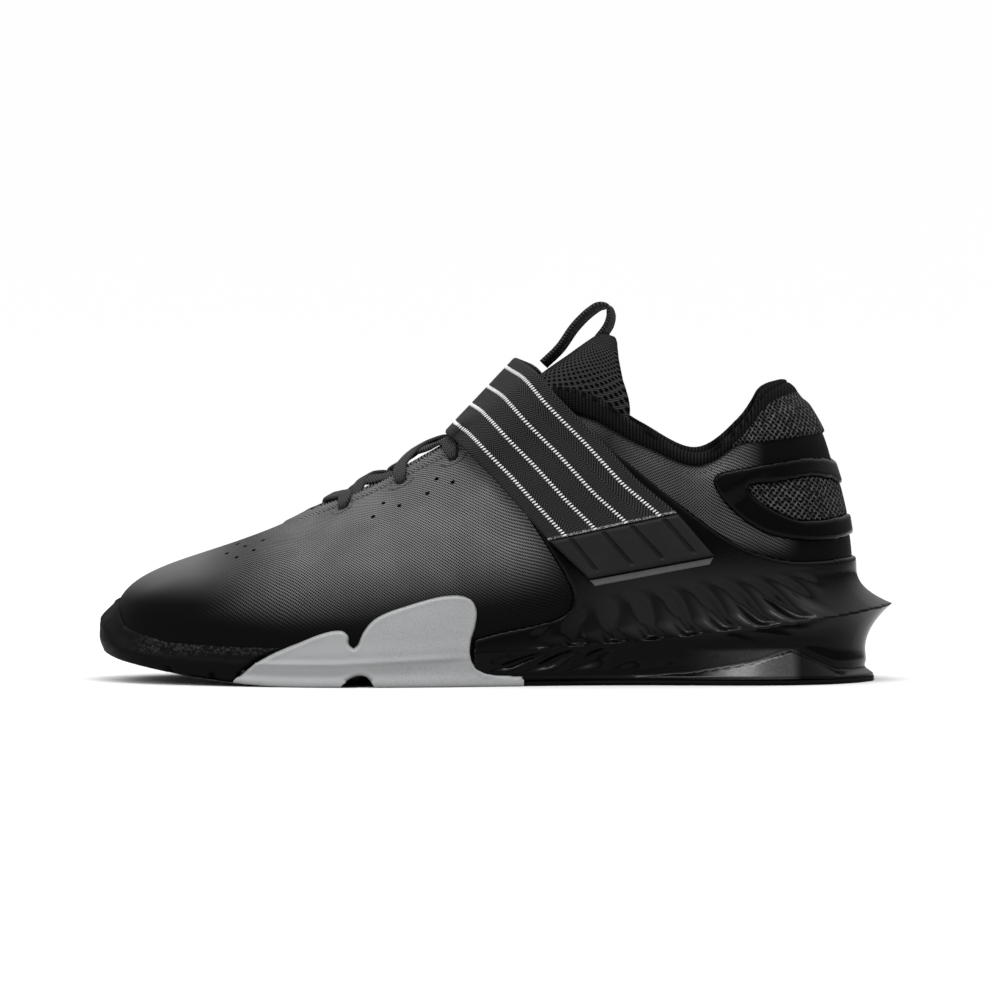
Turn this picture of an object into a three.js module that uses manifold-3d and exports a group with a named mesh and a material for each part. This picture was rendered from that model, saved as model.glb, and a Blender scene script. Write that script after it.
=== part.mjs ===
// A left weightlifting shoe with a sculpted raised heel, a strap over the instep and a padded collar.
// Millimetres, +Z up. The toe points to -X and the outer side of the foot faces -Y.
// The origin lies on the floor under the middle of the shoe.

import * as THREE from "three";
import { mergeVertices } from "three/addons/utils/BufferGeometryUtils.js";
import Module from "manifold-3d";

const wasm = await Module();
wasm.setup();

// Driving sizes of the last and of the upper
const lastLength = 285;
const lastToeX = -147;
const ballWidth = 103;
const collarHeight = 116;
const ballBed = 9;
const heelBed = 28;
const toeSpring = 9.2;
const springStart = 0.255;
const upperWall = 1.8;
const collarPad = 4.6;
const gap = 0.3;
const overlayWall = 1.3;
const cageWall = 1.5;

// Driving sizes of the sole
const soleTread = 2;
const bumperReach = 6;
const bumperHeight = 31;
const sideReach = 3.2;
const heelReach = 15.5;
const ridgeHeight = 29.8;
const foldDepth = 2.6;
const lowerFoldDepth = 1.1;

// Stations round the upper, from the toe's centre to the heel's centre.
// along, outer, inner: the bottom edge, as shares of the last's length and of the ball width.
// bed: its height between ball and heel. top, wide, high: the top edge, as shares of length, ball width
// and collar height. lean, reach: how far the wall swells out at its foot and below its top edge, as
// shares of the ball width. rise, drop: the heights of those two swellings, as shares of collar height.
const upperStations = [
  { along: 0.0, outer: -0.05, inner: 0.05, bed: 0.36, top: 0.255, wide: 0, high: 0.552,
    lean: 0.048, rise: 0.267, reach: 0.408, drop: 0.177 },
  { along: 0.018, outer: 0.146, inner: 0.223, bed: 0.26, top: 0.256, wide: 0.039, high: 0.555,
    lean: 0.048, rise: 0.267, reach: 0.39, drop: 0.172 },
  { along: 0.075, outer: 0.301, inner: 0.364, bed: 0.12, top: 0.262, wide: 0.078, high: 0.563,
    lean: 0.048, rise: 0.267, reach: 0.345, drop: 0.152 },
  { along: 0.175, outer: 0.427, inner: 0.451, bed: 0.03, top: 0.283, wide: 0.107, high: 0.584,
    lean: 0.048, rise: 0.271, reach: 0.285, drop: 0.118 },
  { along: 0.3, outer: 0.505, inner: 0.49, bed: 0.0, top: 0.34, wide: 0.131, high: 0.636,
    lean: 0.048, rise: 0.293, reach: 0.24, drop: 0.078 },
  { along: 0.42, outer: 0.485, inner: 0.427, bed: 0.05, top: 0.42, wide: 0.155, high: 0.743,
    lean: 0.04, rise: 0.328, reach: 0.2, drop: 0.095 },
  { along: 0.53, outer: 0.417, inner: 0.354, bed: 0.26, top: 0.505, wide: 0.184, high: 0.862,
    lean: 0.032, rise: 0.345, reach: 0.15, drop: 0.172 },
  { along: 0.615, outer: 0.369, inner: 0.325, bed: 0.5, top: 0.58, wide: 0.243, high: 0.975,
    lean: 0.032, rise: 0.31, reach: 0.1, drop: 0.259 },
  { along: 0.68, outer: 0.345, inner: 0.32, bed: 0.68, top: 0.645, wide: 0.291, high: 0.943,
    lean: 0.032, rise: 0.276, reach: 0.05, drop: 0.259 },
  { along: 0.745, outer: 0.335, inner: 0.32, bed: 0.82, top: 0.715, wide: 0.306, high: 0.835,
    lean: 0.035, rise: 0.24, reach: 0.035, drop: 0.235 },
  { along: 0.805, outer: 0.33, inner: 0.325, bed: 0.9, top: 0.79, wide: 0.311, high: 0.75,
    lean: 0.039, rise: 0.19, reach: 0.02, drop: 0.172 },
  { along: 0.875, outer: 0.316, inner: 0.32, bed: 0.96, top: 0.845, wide: 0.291, high: 0.842,
    lean: 0.039, rise: 0.207, reach: 0.039, drop: 0.19 },
  { along: 0.945, outer: 0.248, inner: 0.252, bed: 1.0, top: 0.879, wide: 0.228, high: 0.955,
    lean: 0.034, rise: 0.224, reach: 0.09, drop: 0.19 },
  { along: 0.985, outer: 0.131, inner: 0.131, bed: 1.0, top: 0.9, wide: 0.121, high: 0.985,
    lean: 0.029, rise: 0.233, reach: 0.15, drop: 0.181 },
  { along: 1.0, outer: 0, inner: 0, bed: 1.0, top: 0.91, wide: 0, high: 0.99,
    lean: 0.023, rise: 0.233, reach: 0.194, drop: 0.181 },
];
const lastStation = upperStations.length - 1;
const collarStation = 7;
const throatStart = 0;

// The throat lies a little to the inner side, as a share of the ball width.
const throatShift = 0.025;

const lengthAt = (share) => lastToeX + share * lastLength;
const widthAt = (share) => share * ballWidth;
const heightAt = (share) => share * collarHeight;
const mix = (a, b, share) => a + (b - a) * share;
const clamp01 = (value) => Math.min(1, Math.max(0, value));
const smooth = (value) => clamp01(value) ** 2 * (3 - 2 * clamp01(value));

// The closed loops that carry the wall: its foot, two swellings and its top edge.
function wallLoops() {
  const loopRows = [
    ...upperStations.map((row) => ({ row, side: -1, half: row.outer })),
    ...upperStations
      .slice(1, lastStation)
      .reverse()
      .map((row) => ({ row, side: 1, half: row.inner })),
  ];
  const feet = loopRows.map(({ row, side, half }) => {
    const bed = mix(ballBed, heelBed, row.bed);
    return new THREE.Vector3(lengthAt(row.along), side * widthAt(half), bed);
  });
  const tops = loopRows.map(({ row, side }) => {
    const shift = throatShift * smooth((lastStation - 4 - upperStations.indexOf(row)) / collarStation);
    const across = side * widthAt(row.wide) + widthAt(shift);
    return new THREE.Vector3(lengthAt(row.top), across, heightAt(row.high));
  });
  const outward = feet.map((_, i) => {
    const before = feet[(i + feet.length - 1) % feet.length];
    const after = feet[(i + 1) % feet.length];
    return new THREE.Vector3(after.y - before.y, before.x - after.x, 0).normalize();
  });
  const low = feet.map((foot, i) => {
    const { lean, rise } = loopRows[i].row;
    return foot.clone().addScaledVector(outward[i], widthAt(lean)).setZ(foot.z + heightAt(rise));
  });
  const high = tops.map((top, i) => {
    const { reach, drop } = loopRows[i].row;
    return top.clone().addScaledVector(outward[i], widthAt(reach)).setZ(top.z - heightAt(drop));
  });
  const loop = (points) => new THREE.CatmullRomCurve3(points, true, "centripetal");
  return [feet, low, high, tops].map(loop);
}
const loops = wallLoops();
const loopCount = 2 * lastStation;

// A station and a side give the place round the loop, from 0 to 1.
const roundAt = (side, station) => (side < 0 ? station / loopCount : 1 - station / loopCount);

// The upper's outer surface: round goes about the shoe and up goes from its foot to its top edge.
function skin(round, up) {
  const at = ((round % 1) + 1) % 1;
  const [foot, low, high, top] = loops.map((curve) => curve.getPoint(at));
  const down = 1 - up;
  return foot
    .multiplyScalar(down ** 3)
    .addScaledVector(low, 3 * down * down * up)
    .addScaledVector(high, 3 * down * up * up)
    .addScaledVector(top, up ** 3);
}

// The same surface moved outwards by lift.
const normalStep = 0.004;
function form(round, up, lift) {
  const highUp = Math.min(1, up + normalStep);
  const lowUp = Math.max(0, up - normalStep);
  const along = skin(round + normalStep, up).sub(skin(round - normalStep, up));
  const rising = skin(round, highUp).sub(skin(round, lowUp));
  const normal = along.cross(rising).normalize();
  return skin(round, up).addScaledVector(normal, lift);
}

// How far up the wall a height lies at one place round the shoe.
function upAtHeight(round, height) {
  let below = 0;
  let above = 1;
  for (let step = 0; step < 22; step++) {
    const middle = (below + above) / 2;
    if (skin(round, middle).z < height) below = middle;
    else above = middle;
  }
  return below;
}

// The outward direction of the bottom edge, seen from above.
function footNormal(round) {
  const at = (value) => loops[0].getPoint((((round + value) % 1) + 1) % 1);
  const run = at(normalStep).sub(at(-normalStep));
  return new THREE.Vector3(run.y, -run.x, 0).normalize();
}

// A point beside the upper's bottom edge, out from it and at a height above the floor.
function besideFoot(round, out, height) {
  const foot = loops[0].getPoint(((round % 1) + 1) % 1);
  return foot.addScaledVector(footNormal(round), out).setZ(height);
}

// The side of the upper at a place seen from the side: the distance of its outer wall from the middle.
function wallAcross(side, x, z) {
  let front = 2;
  let back = lastStation - 0.5;
  for (let step = 0; step < 18; step++) {
    const station = (front + back) / 2;
    const round = roundAt(side, station);
    if (skin(round, upAtHeight(round, z)).x < x) front = station;
    else back = station;
  }
  const round = roundAt(side, front);
  return skin(round, upAtHeight(round, z)).y;
}

// Evenly spaced stations between two stations, measured along the bottom edge.
function evenStations(from, to, wanted) {
  const count = Math.round(wanted);
  const fine = 400;
  const stations = Array.from({ length: fine + 1 }, (_, i) => mix(from, to, i / fine));
  const points = stations.map((station) => loops[0].getPoint(roundAt(-1, station)));
  const run = [0];
  for (let i = 1; i <= fine; i++) run.push(run[i - 1] + points[i].distanceTo(points[i - 1]));
  return Array.from({ length: count + 1 }, (_, n) => {
    const target = (run[fine] * n) / count;
    let i = 1;
    while (i < fine && run[i] < target) i++;
    const share = (target - run[i - 1]) / (run[i] - run[i - 1]);
    return mix(stations[i - 1], stations[i], share);
  });
}

// Closed solids from points and triangles, facing out.
function solidFrom(points, triangles) {
  const positions = new Float32Array(points.flatMap((point) => [point.x, point.y, point.z]));
  const loose = new THREE.BufferGeometry()
    .setAttribute("position", new THREE.BufferAttribute(positions, 3))
    .setIndex(triangles.flat());
  const merged = mergeVertices(loose, 1e-3);
  const corners = merged.index.array;
  const kept = [];
  for (let i = 0; i < corners.length; i += 3) {
    const [a, b, c] = [corners[i], corners[i + 1], corners[i + 2]];
    if (a !== b && b !== c && c !== a) kept.push(a, b, c);
  }
  const build = (list) =>
    new wasm.Manifold(
      new wasm.Mesh({
        numProp: 3,
        vertProperties: merged.attributes.position.array,
        triVerts: new Uint32Array(list),
      }),
    );
  const made = build(kept);
  if (made.volume() > 0) return made;
  for (let i = 0; i < kept.length; i += 3) {
    [kept[i + 1], kept[i + 2]] = [kept[i + 2], kept[i + 1]];
  }
  return build(kept);
}

const quad = (a, b, c, d) => [[a, b, c], [a, c, d]];

// A closed loft through rings of points. Each ring runs up one side and down the other, so its end
// caps are strips between the two halves. A loop of rings that meets itself needs no caps.
function loft(rings, meetsItself = false) {
  const size = rings[0].length;
  const points = rings.flat();
  const triangles = [];
  const spans = meetsItself ? rings.length : rings.length - 1;
  for (let i = 0; i < spans; i++) {
    const here = i * size;
    const next = ((i + 1) % rings.length) * size;
    for (let j = 0; j < size; j++) {
      const k = (j + 1) % size;
      triangles.push(...quad(here + j, here + k, next + k, next + j));
    }
  }
  if (!meetsItself) {
    for (const [start, flip] of [[0, false], [(rings.length - 1) * size, true]]) {
      for (let j = 0; j < size / 2 - 1; j++) {
        const strip = [start + j, start + size - 1 - j, start + size - 2 - j, start + j + 1];
        triangles.push(...quad(...(flip ? strip.reverse() : strip)));
      }
    }
  }
  return solidFrom(points, triangles);
}

// A three.js geometry as a solid.
function solidOf(geometry) {
  const bare = geometry.index ? geometry.toNonIndexed() : geometry;
  const position = bare.getAttribute("position");
  const points = [];
  const triangles = [];
  for (let i = 0; i < position.count; i++) {
    points.push(new THREE.Vector3().fromBufferAttribute(position, i));
  }
  for (let i = 0; i < position.count; i += 3) triangles.push([i, i + 1, i + 2]);
  return solidFrom(points, triangles);
}

// A side-view outline, in shares of the last's length and of the collar height, as a prism across
// the whole shoe. Smooth outlines run through their points.
const prismHalfWidth = 0.8 * ballWidth;
function prism(outline, smoothTurns = 0) {
  const points = outline.map(([along, up]) => new THREE.Vector2(lengthAt(along), heightAt(up)));
  const shape = new THREE.Shape();
  if (smoothTurns) {
    const curve = new THREE.CatmullRomCurve3(
      points.map((point) => new THREE.Vector3(point.x, point.y, 0)),
      true,
      "centripetal",
    );
    shape.setFromPoints(curve.getPoints(smoothTurns).map((point) => new THREE.Vector2(point.x, point.y)));
  } else {
    shape.setFromPoints(points);
  }
  const block = new THREE.ExtrudeGeometry(shape, { depth: 2 * prismHalfWidth, bevelEnabled: false });
  block.rotateX(Math.PI / 2);
  block.translate(0, prismHalfWidth, 0);
  return solidOf(block);
}

// A solid across the shoe between two stations, from columns of points that run up each side.
function block(stations, column) {
  return loft(
    stations.map((station) => [
      ...column(roundAt(-1, station), station),
      ...column(roundAt(1, station), station).reverse(),
    ]),
  );
}

// The room that the upper and the foot fill, grown by lift.
const upperRounds = 64;
const upperRows = 7;
function filledLast(lift) {
  const stations = evenStations(0, lastStation, upperRounds / 2);
  const column = (round) => {
    const rows = Array.from({ length: upperRows + 1 }, (_, j) => form(round, j / upperRows, lift));
    rows[0].z -= lift;
    rows[upperRows].z += lift;
    return rows;
  };
  return block(stations, column);
}

// A wall round part of the shoe: it follows the upper between two heights and two lifts.
function band(rounds, lowUp, highUp, innerLift, outerLift, rows, meetsItself = false) {
  const rings = rounds.map((round) => {
    const outer = [];
    const inner = [];
    for (let j = 0; j <= rows; j++) {
      const up = mix(lowUp, highUp, j / rows);
      outer.push(form(round, up, outerLift(round, up)));
      inner.push(form(round, up, innerLift(round, up)));
    }
    return [...outer, ...inner.reverse()];
  });
  return loft(rings, meetsItself);
}

// The upper: one hollow wall, padded round the ankle, with punched lace holes
const padStart = 0.62;
const eyelets = [
  { outer: 3.62, inner: 3.22 },
  { outer: 4.62, inner: 4.5 },
  { outer: 5.42, inner: 5.36 },
  { outer: 6.2, inner: 6.2 },
  { outer: 6.8, inner: 6.8 },
];
const eyeletUp = 0.9;
const eyeletRadius = 2.1;

const eyeletRound = (side, eyelet) => roundAt(side, side < 0 ? eyelet.outer : eyelet.inner);

function padding(round, up) {
  const station = Math.min(round, 1 - round) * loopCount;
  const rear = smooth((station - collarStation + 0.4) / 1.4);
  return collarPad * rear * smooth((up - padStart) / 0.2);
}

// The wall alone, without holes; grow thickens it all round, for the room it needs.
function upperWallSolid(grow) {
  const even = evenStations(0, lastStation, upperRounds / 2);
  const rounds = [
    ...even.map((station) => roundAt(-1, station)),
    ...even.slice(1, -1).reverse().map((station) => roundAt(1, station)),
  ];
  const rings = rounds.map((round) => {
    const outer = [];
    const inner = [];
    for (let j = 0; j <= upperRows; j++) {
      const up = j / upperRows;
      outer.push(form(round, up, grow));
      inner.push(form(round, up, -upperWall - padding(round, up) - grow));
    }
    const rim = outer[upperRows].clone().lerp(inner[upperRows], 0.5);
    rim.z += (upperWall + padding(round, 1)) / 3 + grow;
    return [...outer, rim, ...inner.reverse()];
  });
  return loft(rings, true);
}

function buildUpper() {
  let wall = upperWallSolid(0);
  for (const side of [-1, 1]) {
    for (const eyelet of eyelets) {
      const hole = new THREE.CylinderGeometry(eyeletRadius, eyeletRadius, 8 * upperWall, 8);
      wall = wall.subtract(solidOf(alongNormal(hole, eyeletRound(side, eyelet), eyeletUp)));
    }
  }
  return wall;
}

// Turns a shape that stands along Y so that it stands on the upper's wall.
function alongNormal(geometry, round, up) {
  const base = form(round, up, 0);
  const normal = form(round, up, 1).sub(base);
  const turn = new THREE.Quaternion().setFromUnitVectors(new THREE.Vector3(0, 1, 0), normal);
  return geometry.applyQuaternion(turn).translate(base.x, base.y, base.z);
}

// Height of the sole's underside: flat from heel to ball, then the toe spring
function floorAt(x) {
  const start = lengthAt(springStart);
  const share = clamp01((start - x) / (start - lastToeX));
  return toeSpring * share ** 1.8;
}

// The toe part of the outsole: a rubber bumper that wraps the toe and thins along the sides.
// rim, belly: reach beyond the upper's foot as shares of the bumper's reach. edge: the bottom edge's.
// rimHigh, bellyHigh: heights as shares of the bumper's height.
const bumperRows = [
  { station: 0, edge: 0.17, shoulder: 0.75, belly: 1.0, bellyHigh: 0.56, rim: 0.8, rimHigh: 1.0 },
  { station: 0.5, edge: 0.17, shoulder: 0.72, belly: 0.97, bellyHigh: 0.53, rim: 0.76, rimHigh: 0.9 },
  { station: 1, edge: 0.17, shoulder: 0.66, belly: 0.86, bellyHigh: 0.47, rim: 0.66, rimHigh: 0.68 },
  { station: 2, edge: 0.17, shoulder: 0.44, belly: 0.58, bellyHigh: 0.36, rim: 0.44, rimHigh: 0.5 },
  { station: 3, edge: 0.14, shoulder: 0.37, belly: 0.5, bellyHigh: 0.31, rim: 0.4, rimHigh: 0.46 },
  { station: 4, edge: 0.14, shoulder: 0.37, belly: 0.5, bellyHigh: 0.29, rim: 0.4, rimHigh: 0.455 },
];

// Values of a table's columns at a place given by its first column, mixed between two rows.
function rowAt(rows, place) {
  const [first] = Object.keys(rows[0]);
  let i = 0;
  while (i < rows.length - 2 && rows[i + 1][first] < place) i++;
  const [a, b] = [rows[i], rows[i + 1]];
  const share = clamp01((place - a[first]) / (b[first] - a[first]));
  return Object.fromEntries(Object.keys(a).map((key) => [key, mix(a[key], b[key], share)]));
}

const toeOutline = [
  [-0.1, -0.1], [0.163, -0.1], [0.163, 0.014], [0.174, 0.045], [0.191, 0.079], [0.214, 0.112],
  [0.232, 0.132], [0.252, 0.15], [0.28, 0.22], [0.2, 0.5], [-0.1, 0.5],
];

function buildToeSole(last) {
  const column = (round, station) => {
    const row = rowAt(bumperRows, station);
    const floor = floorAt(skin(round, 0).x);
    const at = (reach, height) => besideFoot(round, reach * bumperReach, height);
    const shoulderHigh = floor + 0.5 * (row.bellyHigh * bumperHeight - floor);
    return [
      at(row.edge, floor),
      at(row.shoulder, mix(floor, shoulderHigh, 0.7)),
      at(row.belly, row.bellyHigh * bumperHeight),
      at(mix(row.belly, row.rim, 0.35), mix(row.bellyHigh, row.rimHigh, 0.6) * bumperHeight),
      at(row.rim, row.rimHigh * bumperHeight),
      at(row.rim - 0.2, (row.rimHigh + 0.025) * bumperHeight),
      at(row.rim - 0.9, (row.rimHigh + 0.01) * bumperHeight),
    ];
  };
  let sole = block(evenStations(0, 4, 16), column).subtract(last).intersect(prism(toeOutline));
  for (const along of toeGrooves) {
    sole = sole.subtract(groove(along));
  }
  return largest(sole);
}

// Flex grooves across the underside of the toe
const toeGrooves = [0.08, 0.137];
const grooveWidth = 1.6;
const grooveDepth = 2.6;
function groove(along) {
  const x = lengthAt(along);
  const top = floorAt(x) + grooveDepth;
  const cutter = new THREE.BoxGeometry(grooveWidth, 2 * prismHalfWidth, 2 * top);
  return solidOf(cutter.translate(x, 0, 0));
}

// The biggest body of a cut solid.
function largest(solid) {
  return solid.decompose().reduce((a, b) => (a.volume() > b.volume() ? a : b));
}

// The forefoot part of the sole: a pale moulded cup whose fins rise over the upper.
// lip, hollow, crease, ledge: reach beyond the upper's foot, as shares of the side reach.
// creaseHigh: the crease's height as a share of the ball bed.
const forefootRows = [
  { station: 2, lip: 0.7, hollow: 0.5, crease: 0.9, creaseHigh: 0.85 },
  { station: 3, lip: 0.8, hollow: 0.5, crease: 1.0, creaseHigh: 0.88 },
  { station: 4, lip: 0.8, hollow: 0.5, crease: 1.0, creaseHigh: 0.9 },
  { station: 5, lip: 0.85, hollow: 0.55, crease: 0.95, creaseHigh: 1.1 },
  { station: 6, lip: 0.9, hollow: 0.75, crease: 0.8, creaseHigh: 1.25 },
];
const finOutline = [
  [0.166, -0.05], [0.166, 0.013], [0.177, 0.043], [0.194, 0.077], [0.217, 0.11], [0.235, 0.13],
  [0.255, 0.15], [0.278, 0.173], [0.299, 0.187], [0.312, 0.186], [0.319, 0.17], [0.32, 0.143],
  [0.326, 0.13], [0.331, 0.14], [0.339, 0.183], [0.353, 0.223], [0.371, 0.247], [0.394, 0.266],
  [0.421, 0.286], [0.448, 0.3], [0.471, 0.3], [0.485, 0.283], [0.491, 0.25], [0.489, 0.2],
  [0.483, 0.15], [0.482, 0.11], [0.486, 0.077], [0.498, 0.053], [0.516, 0.04], [0.552, 0.035],
  [0.555, -0.05],
];
const flexNotch = [
  [0.307, -0.05], [0.309, 0.004], [0.318, 0.022], [0.33, 0.036], [0.341, 0.037], [0.349, 0.02],
  [0.354, -0.002], [0.356, -0.05],
];
const finLift = 1.5;
const ledgeRise = 2.4;
const finRows = 4;
const finTop = 0.62;

function buildForefoot(last) {
  const column = (round, station) => {
    const row = rowAt(forefootRows, station);
    const floor = floorAt(skin(round, 0).x);
    const crease = row.creaseHigh * ballBed;
    const at = (reach, height) => besideFoot(round, reach * sideReach, height);
    const low = upAtHeight(round, crease + ledgeRise + 3);
    const fins = Array.from({ length: finRows + 1 }, (_, j) =>
      form(round, mix(low, finTop, j / finRows), finLift),
    );
    return [
      at(row.lip - 0.15, floor),
      at(row.lip, floor + 1.4),
      at(row.hollow, mix(floor + 1.4, crease, 0.45)),
      at(row.crease, crease),
      at(mix(row.crease, 0.62, 0.5), crease + ledgeRise),
      ...fins,
    ];
  };
  const cup = block(evenStations(2.2, 6.9, 24), column).subtract(last);
  return largest(cup.intersect(prism(finOutline)).subtract(prism(flexNotch)));
}

// The heel part: one glossy moulding with a rim, a sharp ridge that flares to a point behind, a
// waist, a foot, and thin wings that rise to carry the strap.
// ridge, waist, foot: reach beyond the upper's foot as shares of the heel's reach.
// ridgeHigh, waistHigh, footHigh, rimHigh: heights as shares of the ridge's height behind.
const heelRows = [
  { station: 5, ridge: 0.17, ridgeHigh: 0.42, waist: 0.14, waistHigh: 0.16, foot: 0.13, footHigh: 0.1, rimHigh: 0.72 },
  { station: 6, ridge: 0.2, ridgeHigh: 0.44, waist: 0.14, waistHigh: 0.16, foot: 0.14, footHigh: 0.1, rimHigh: 0.8 },
  { station: 7, ridge: 0.24, ridgeHigh: 0.5, waist: 0.14, waistHigh: 0.17, foot: 0.16, footHigh: 0.1, rimHigh: 1.0 },
  { station: 8, ridge: 0.3, ridgeHigh: 0.54, waist: 0.14, waistHigh: 0.18, foot: 0.2, footHigh: 0.1, rimHigh: 1.2 },
  { station: 9, ridge: 0.36, ridgeHigh: 0.59, waist: 0.14, waistHigh: 0.2, foot: 0.26, footHigh: 0.1, rimHigh: 1.3 },
  { station: 10, ridge: 0.43, ridgeHigh: 0.66, waist: 0.15, waistHigh: 0.28, foot: 0.36, footHigh: 0.1, rimHigh: 1.38 },
  { station: 11, ridge: 0.53, ridgeHigh: 0.76, waist: 0.19, waistHigh: 0.41, foot: 0.45, footHigh: 0.11, rimHigh: 1.44 },
  { station: 12, ridge: 0.7, ridgeHigh: 0.87, waist: 0.25, waistHigh: 0.47, foot: 0.52, footHigh: 0.13, rimHigh: 1.48 },
  { station: 13, ridge: 0.88, ridgeHigh: 0.96, waist: 0.31, waistHigh: 0.44, foot: 0.58, footHigh: 0.15, rimHigh: 1.49 },
  { station: 14, ridge: 1.0, ridgeHigh: 1.0, waist: 0.335, waistHigh: 0.42, foot: 0.61, footHigh: 0.154, rimHigh: 1.49 },
];
const heelFront = 0.486;
const wingOutline = [
  [heelFront, -0.05], [0.4865, 0.075], [0.4855, 0.11], [0.4865, 0.157], [0.523, 0.18], [0.577, 0.207],
  [0.598, 0.223], [0.612, 0.243], [0.619, 0.273], [0.62, 0.303], [0.611, 0.356], [0.593, 0.43],
  [0.574, 0.503], [0.555, 0.576], [0.539, 0.636], [0.532, 0.69], [0.54, 0.743], [0.56, 0.79],
  [0.604, 0.83], [0.645, 0.83], [0.668, 0.8], [0.712, 0.716], [0.753, 0.63], [0.794, 0.55],
  [0.841, 0.47], [0.875, 0.433], [0.909, 0.413], [0.943, 0.408], [1.0, 0.416], [1.1, 0.416],
  [1.1, -0.05],
];
const flareBend = 2.6;
const hollowBend = 1.5;
const heelTreadReach = 0.06;

// Folds of the heel's side: each runs from a place on the ridge to a place below the strap.
const foldsAtRidge = { start: 0.62, pitch: 0.0422 };
const foldsAtTop = { start: 0.658, pitch: 0.0272 };
const foldsTopHigh = 1.42;
const lowerAtRidge = { start: 0.658, pitch: 0.038 };
const lowerAtFoot = { start: 0.584, pitch: 0.065 };

// The place across a fan of folds, counted in folds.
function foldCount(x, share, near, far) {
  const start = lengthAt(mix(near.start, far.start, share));
  return (x - start) / (mix(near.pitch, far.pitch, share) * lastLength);
}

const trough = (count, blunt) => (0.5 - 0.5 * Math.cos(2 * Math.PI * count)) ** blunt;

function foldAbove(x, share) {
  const along = (x - lastToeX) / lastLength;
  const fade = smooth((along - 0.56) / 0.06) * (1 - smooth((along - 0.9) / 0.1));
  const rise = smooth(share / 0.16) * (1 - smooth((share - 0.3) / 0.7));
  return -foldDepth * fade * rise * trough(foldCount(x, share, foldsAtRidge, foldsAtTop), 0.8);
}

function foldBelow(x, share) {
  const along = (x - lastToeX) / lastLength;
  const fade = smooth((along - 0.52) / 0.05) * (1 - smooth((along - 0.88) / 0.08));
  const rise = smooth(share / 0.25) * (1 - smooth((share - 0.55) / 0.45));
  return -lowerFoldDepth * fade * rise * trough(foldCount(x, share, lowerAtRidge, lowerAtFoot), 1);
}

const aboveShares = [0.1, 0.27, 0.5, 0.78];
const belowShares = [0.66, 0.3];
const thinnestHeel = 0.9;
const wingRows = 3;
const wingTop = 0.93;

function heelColumn(round, station) {
  const row = rowAt(heelRows, station);
  const reach = (share) => share * heelReach;
  const high = (share) => share * ridgeHeight;
  const rimUp = upAtHeight(round, high(row.rimHigh));
  const rim = form(round, rimUp, cageWall);
  const foot = skin(round, 0);
  const outwards = footNormal(round);
  const rimOut = rim.clone().sub(foot).dot(outwards);
  const ridge = besideFoot(round, reach(row.ridge), high(row.ridgeHigh));
  const flare = aboveShares.map((share) => {
    const out = mix(rimOut, reach(row.ridge), (1 - share) ** flareBend);
    const height = mix(high(row.ridgeHigh), rim.z, share);
    const wall = form(round, upAtHeight(round, height), gap + thinnestHeel).sub(foot).dot(outwards);
    return besideFoot(round, Math.max(out + foldAbove(ridge.x, share), wall), height);
  });
  const under = belowShares.map((share) => {
    const out = mix(reach(row.waist), reach(row.ridge), (1 - share) ** hollowBend);
    const height = mix(high(row.ridgeHigh), high(row.waistHigh), share);
    return besideFoot(round, out + foldBelow(ridge.x, share), height);
  });
  const wings = Array.from({ length: wingRows + 1 }, (_, j) =>
    form(round, mix(rimUp, wingTop, j / wingRows), cageWall),
  );
  return [
    besideFoot(round, reach(row.foot - heelTreadReach), soleTread + gap),
    besideFoot(round, reach(row.foot), high(row.footHigh)),
    besideFoot(round, reach(row.waist), high(row.waistHigh)),
    ...under,
    ridge,
    ...flare,
    ...wings,
  ];
}

function buildHeel(last, forefoot) {
  const columns = block(evenStations(5.2, lastStation, 44), heelColumn);
  const cut = columns.subtract(last).intersect(prism(wingOutline));
  return largest(cut.subtract(prism(finOutline.map(([along, up]) => [along + 0.0012, up + 0.003]))));
}

// The thin rubber tread under the heel part.
const treadFront = 0.5575;
function buildHeelTread() {
  const column = (round, station) => {
    const row = rowAt(heelRows, station);
    const top = besideFoot(round, (row.foot - heelTreadReach) * heelReach, soleTread);
    const bottom = besideFoot(round, (row.foot - 4 * heelTreadReach) * heelReach, 0);
    return [bottom, top];
  };
  const tread = block(evenStations(5.6, lastStation, 22), column);
  const front = new THREE.BoxGeometry(lastLength, 2 * prismHalfWidth, 4 * soleTread);
  front.translate(lengthAt(treadFront) - lastLength / 2, 0, 0);
  return tread.subtract(solidOf(front));
}

// The insole lies on the sole inside the upper.
const insoleThickness = 3;
const insoleInset = 4.4;
function buildInsole() {
  const column = (round) => {
    const foot = skin(round, 0);
    const at = (inset, rise) => besideFoot(round, -inset, foot.z + rise);
    return [at(insoleInset + 0.6, 0), at(insoleInset, insoleThickness)];
  };
  return block(evenStations(0.02, lastStation - 0.02, 26), column);
}

// Overlays at the back of the upper: a moulded frame with a window, and a knitted top panel
const counterOutline = [
  [0.81, 0.676], [0.815, 0.696], [0.848, 0.716], [0.889, 0.733], [0.929, 0.746], [0.964, 0.74],
  [1.1, 0.73], [1.1, 0.482], [0.996, 0.486], [0.95, 0.473], [0.916, 0.48], [0.882, 0.5],
  [0.848, 0.55], [0.821, 0.616],
];
const windowOutline = [
  [0.857, 0.653], [0.895, 0.67], [0.929, 0.683], [0.945, 0.686], [0.981, 0.663], [1.1, 0.65],
  [1.1, 0.556], [0.99, 0.558], [0.956, 0.543], [0.929, 0.543], [0.902, 0.566], [0.868, 0.616],
];
const knitOutline = [
  [0.846, 0.807], [0.859, 0.866], [0.871, 0.923], [0.884, 0.965], [0.899, 0.985], [0.92, 1.05],
  [1.1, 1.05], [1.1, 0.818], [0.964, 0.823], [0.916, 0.813], [0.882, 0.807],
];

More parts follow.
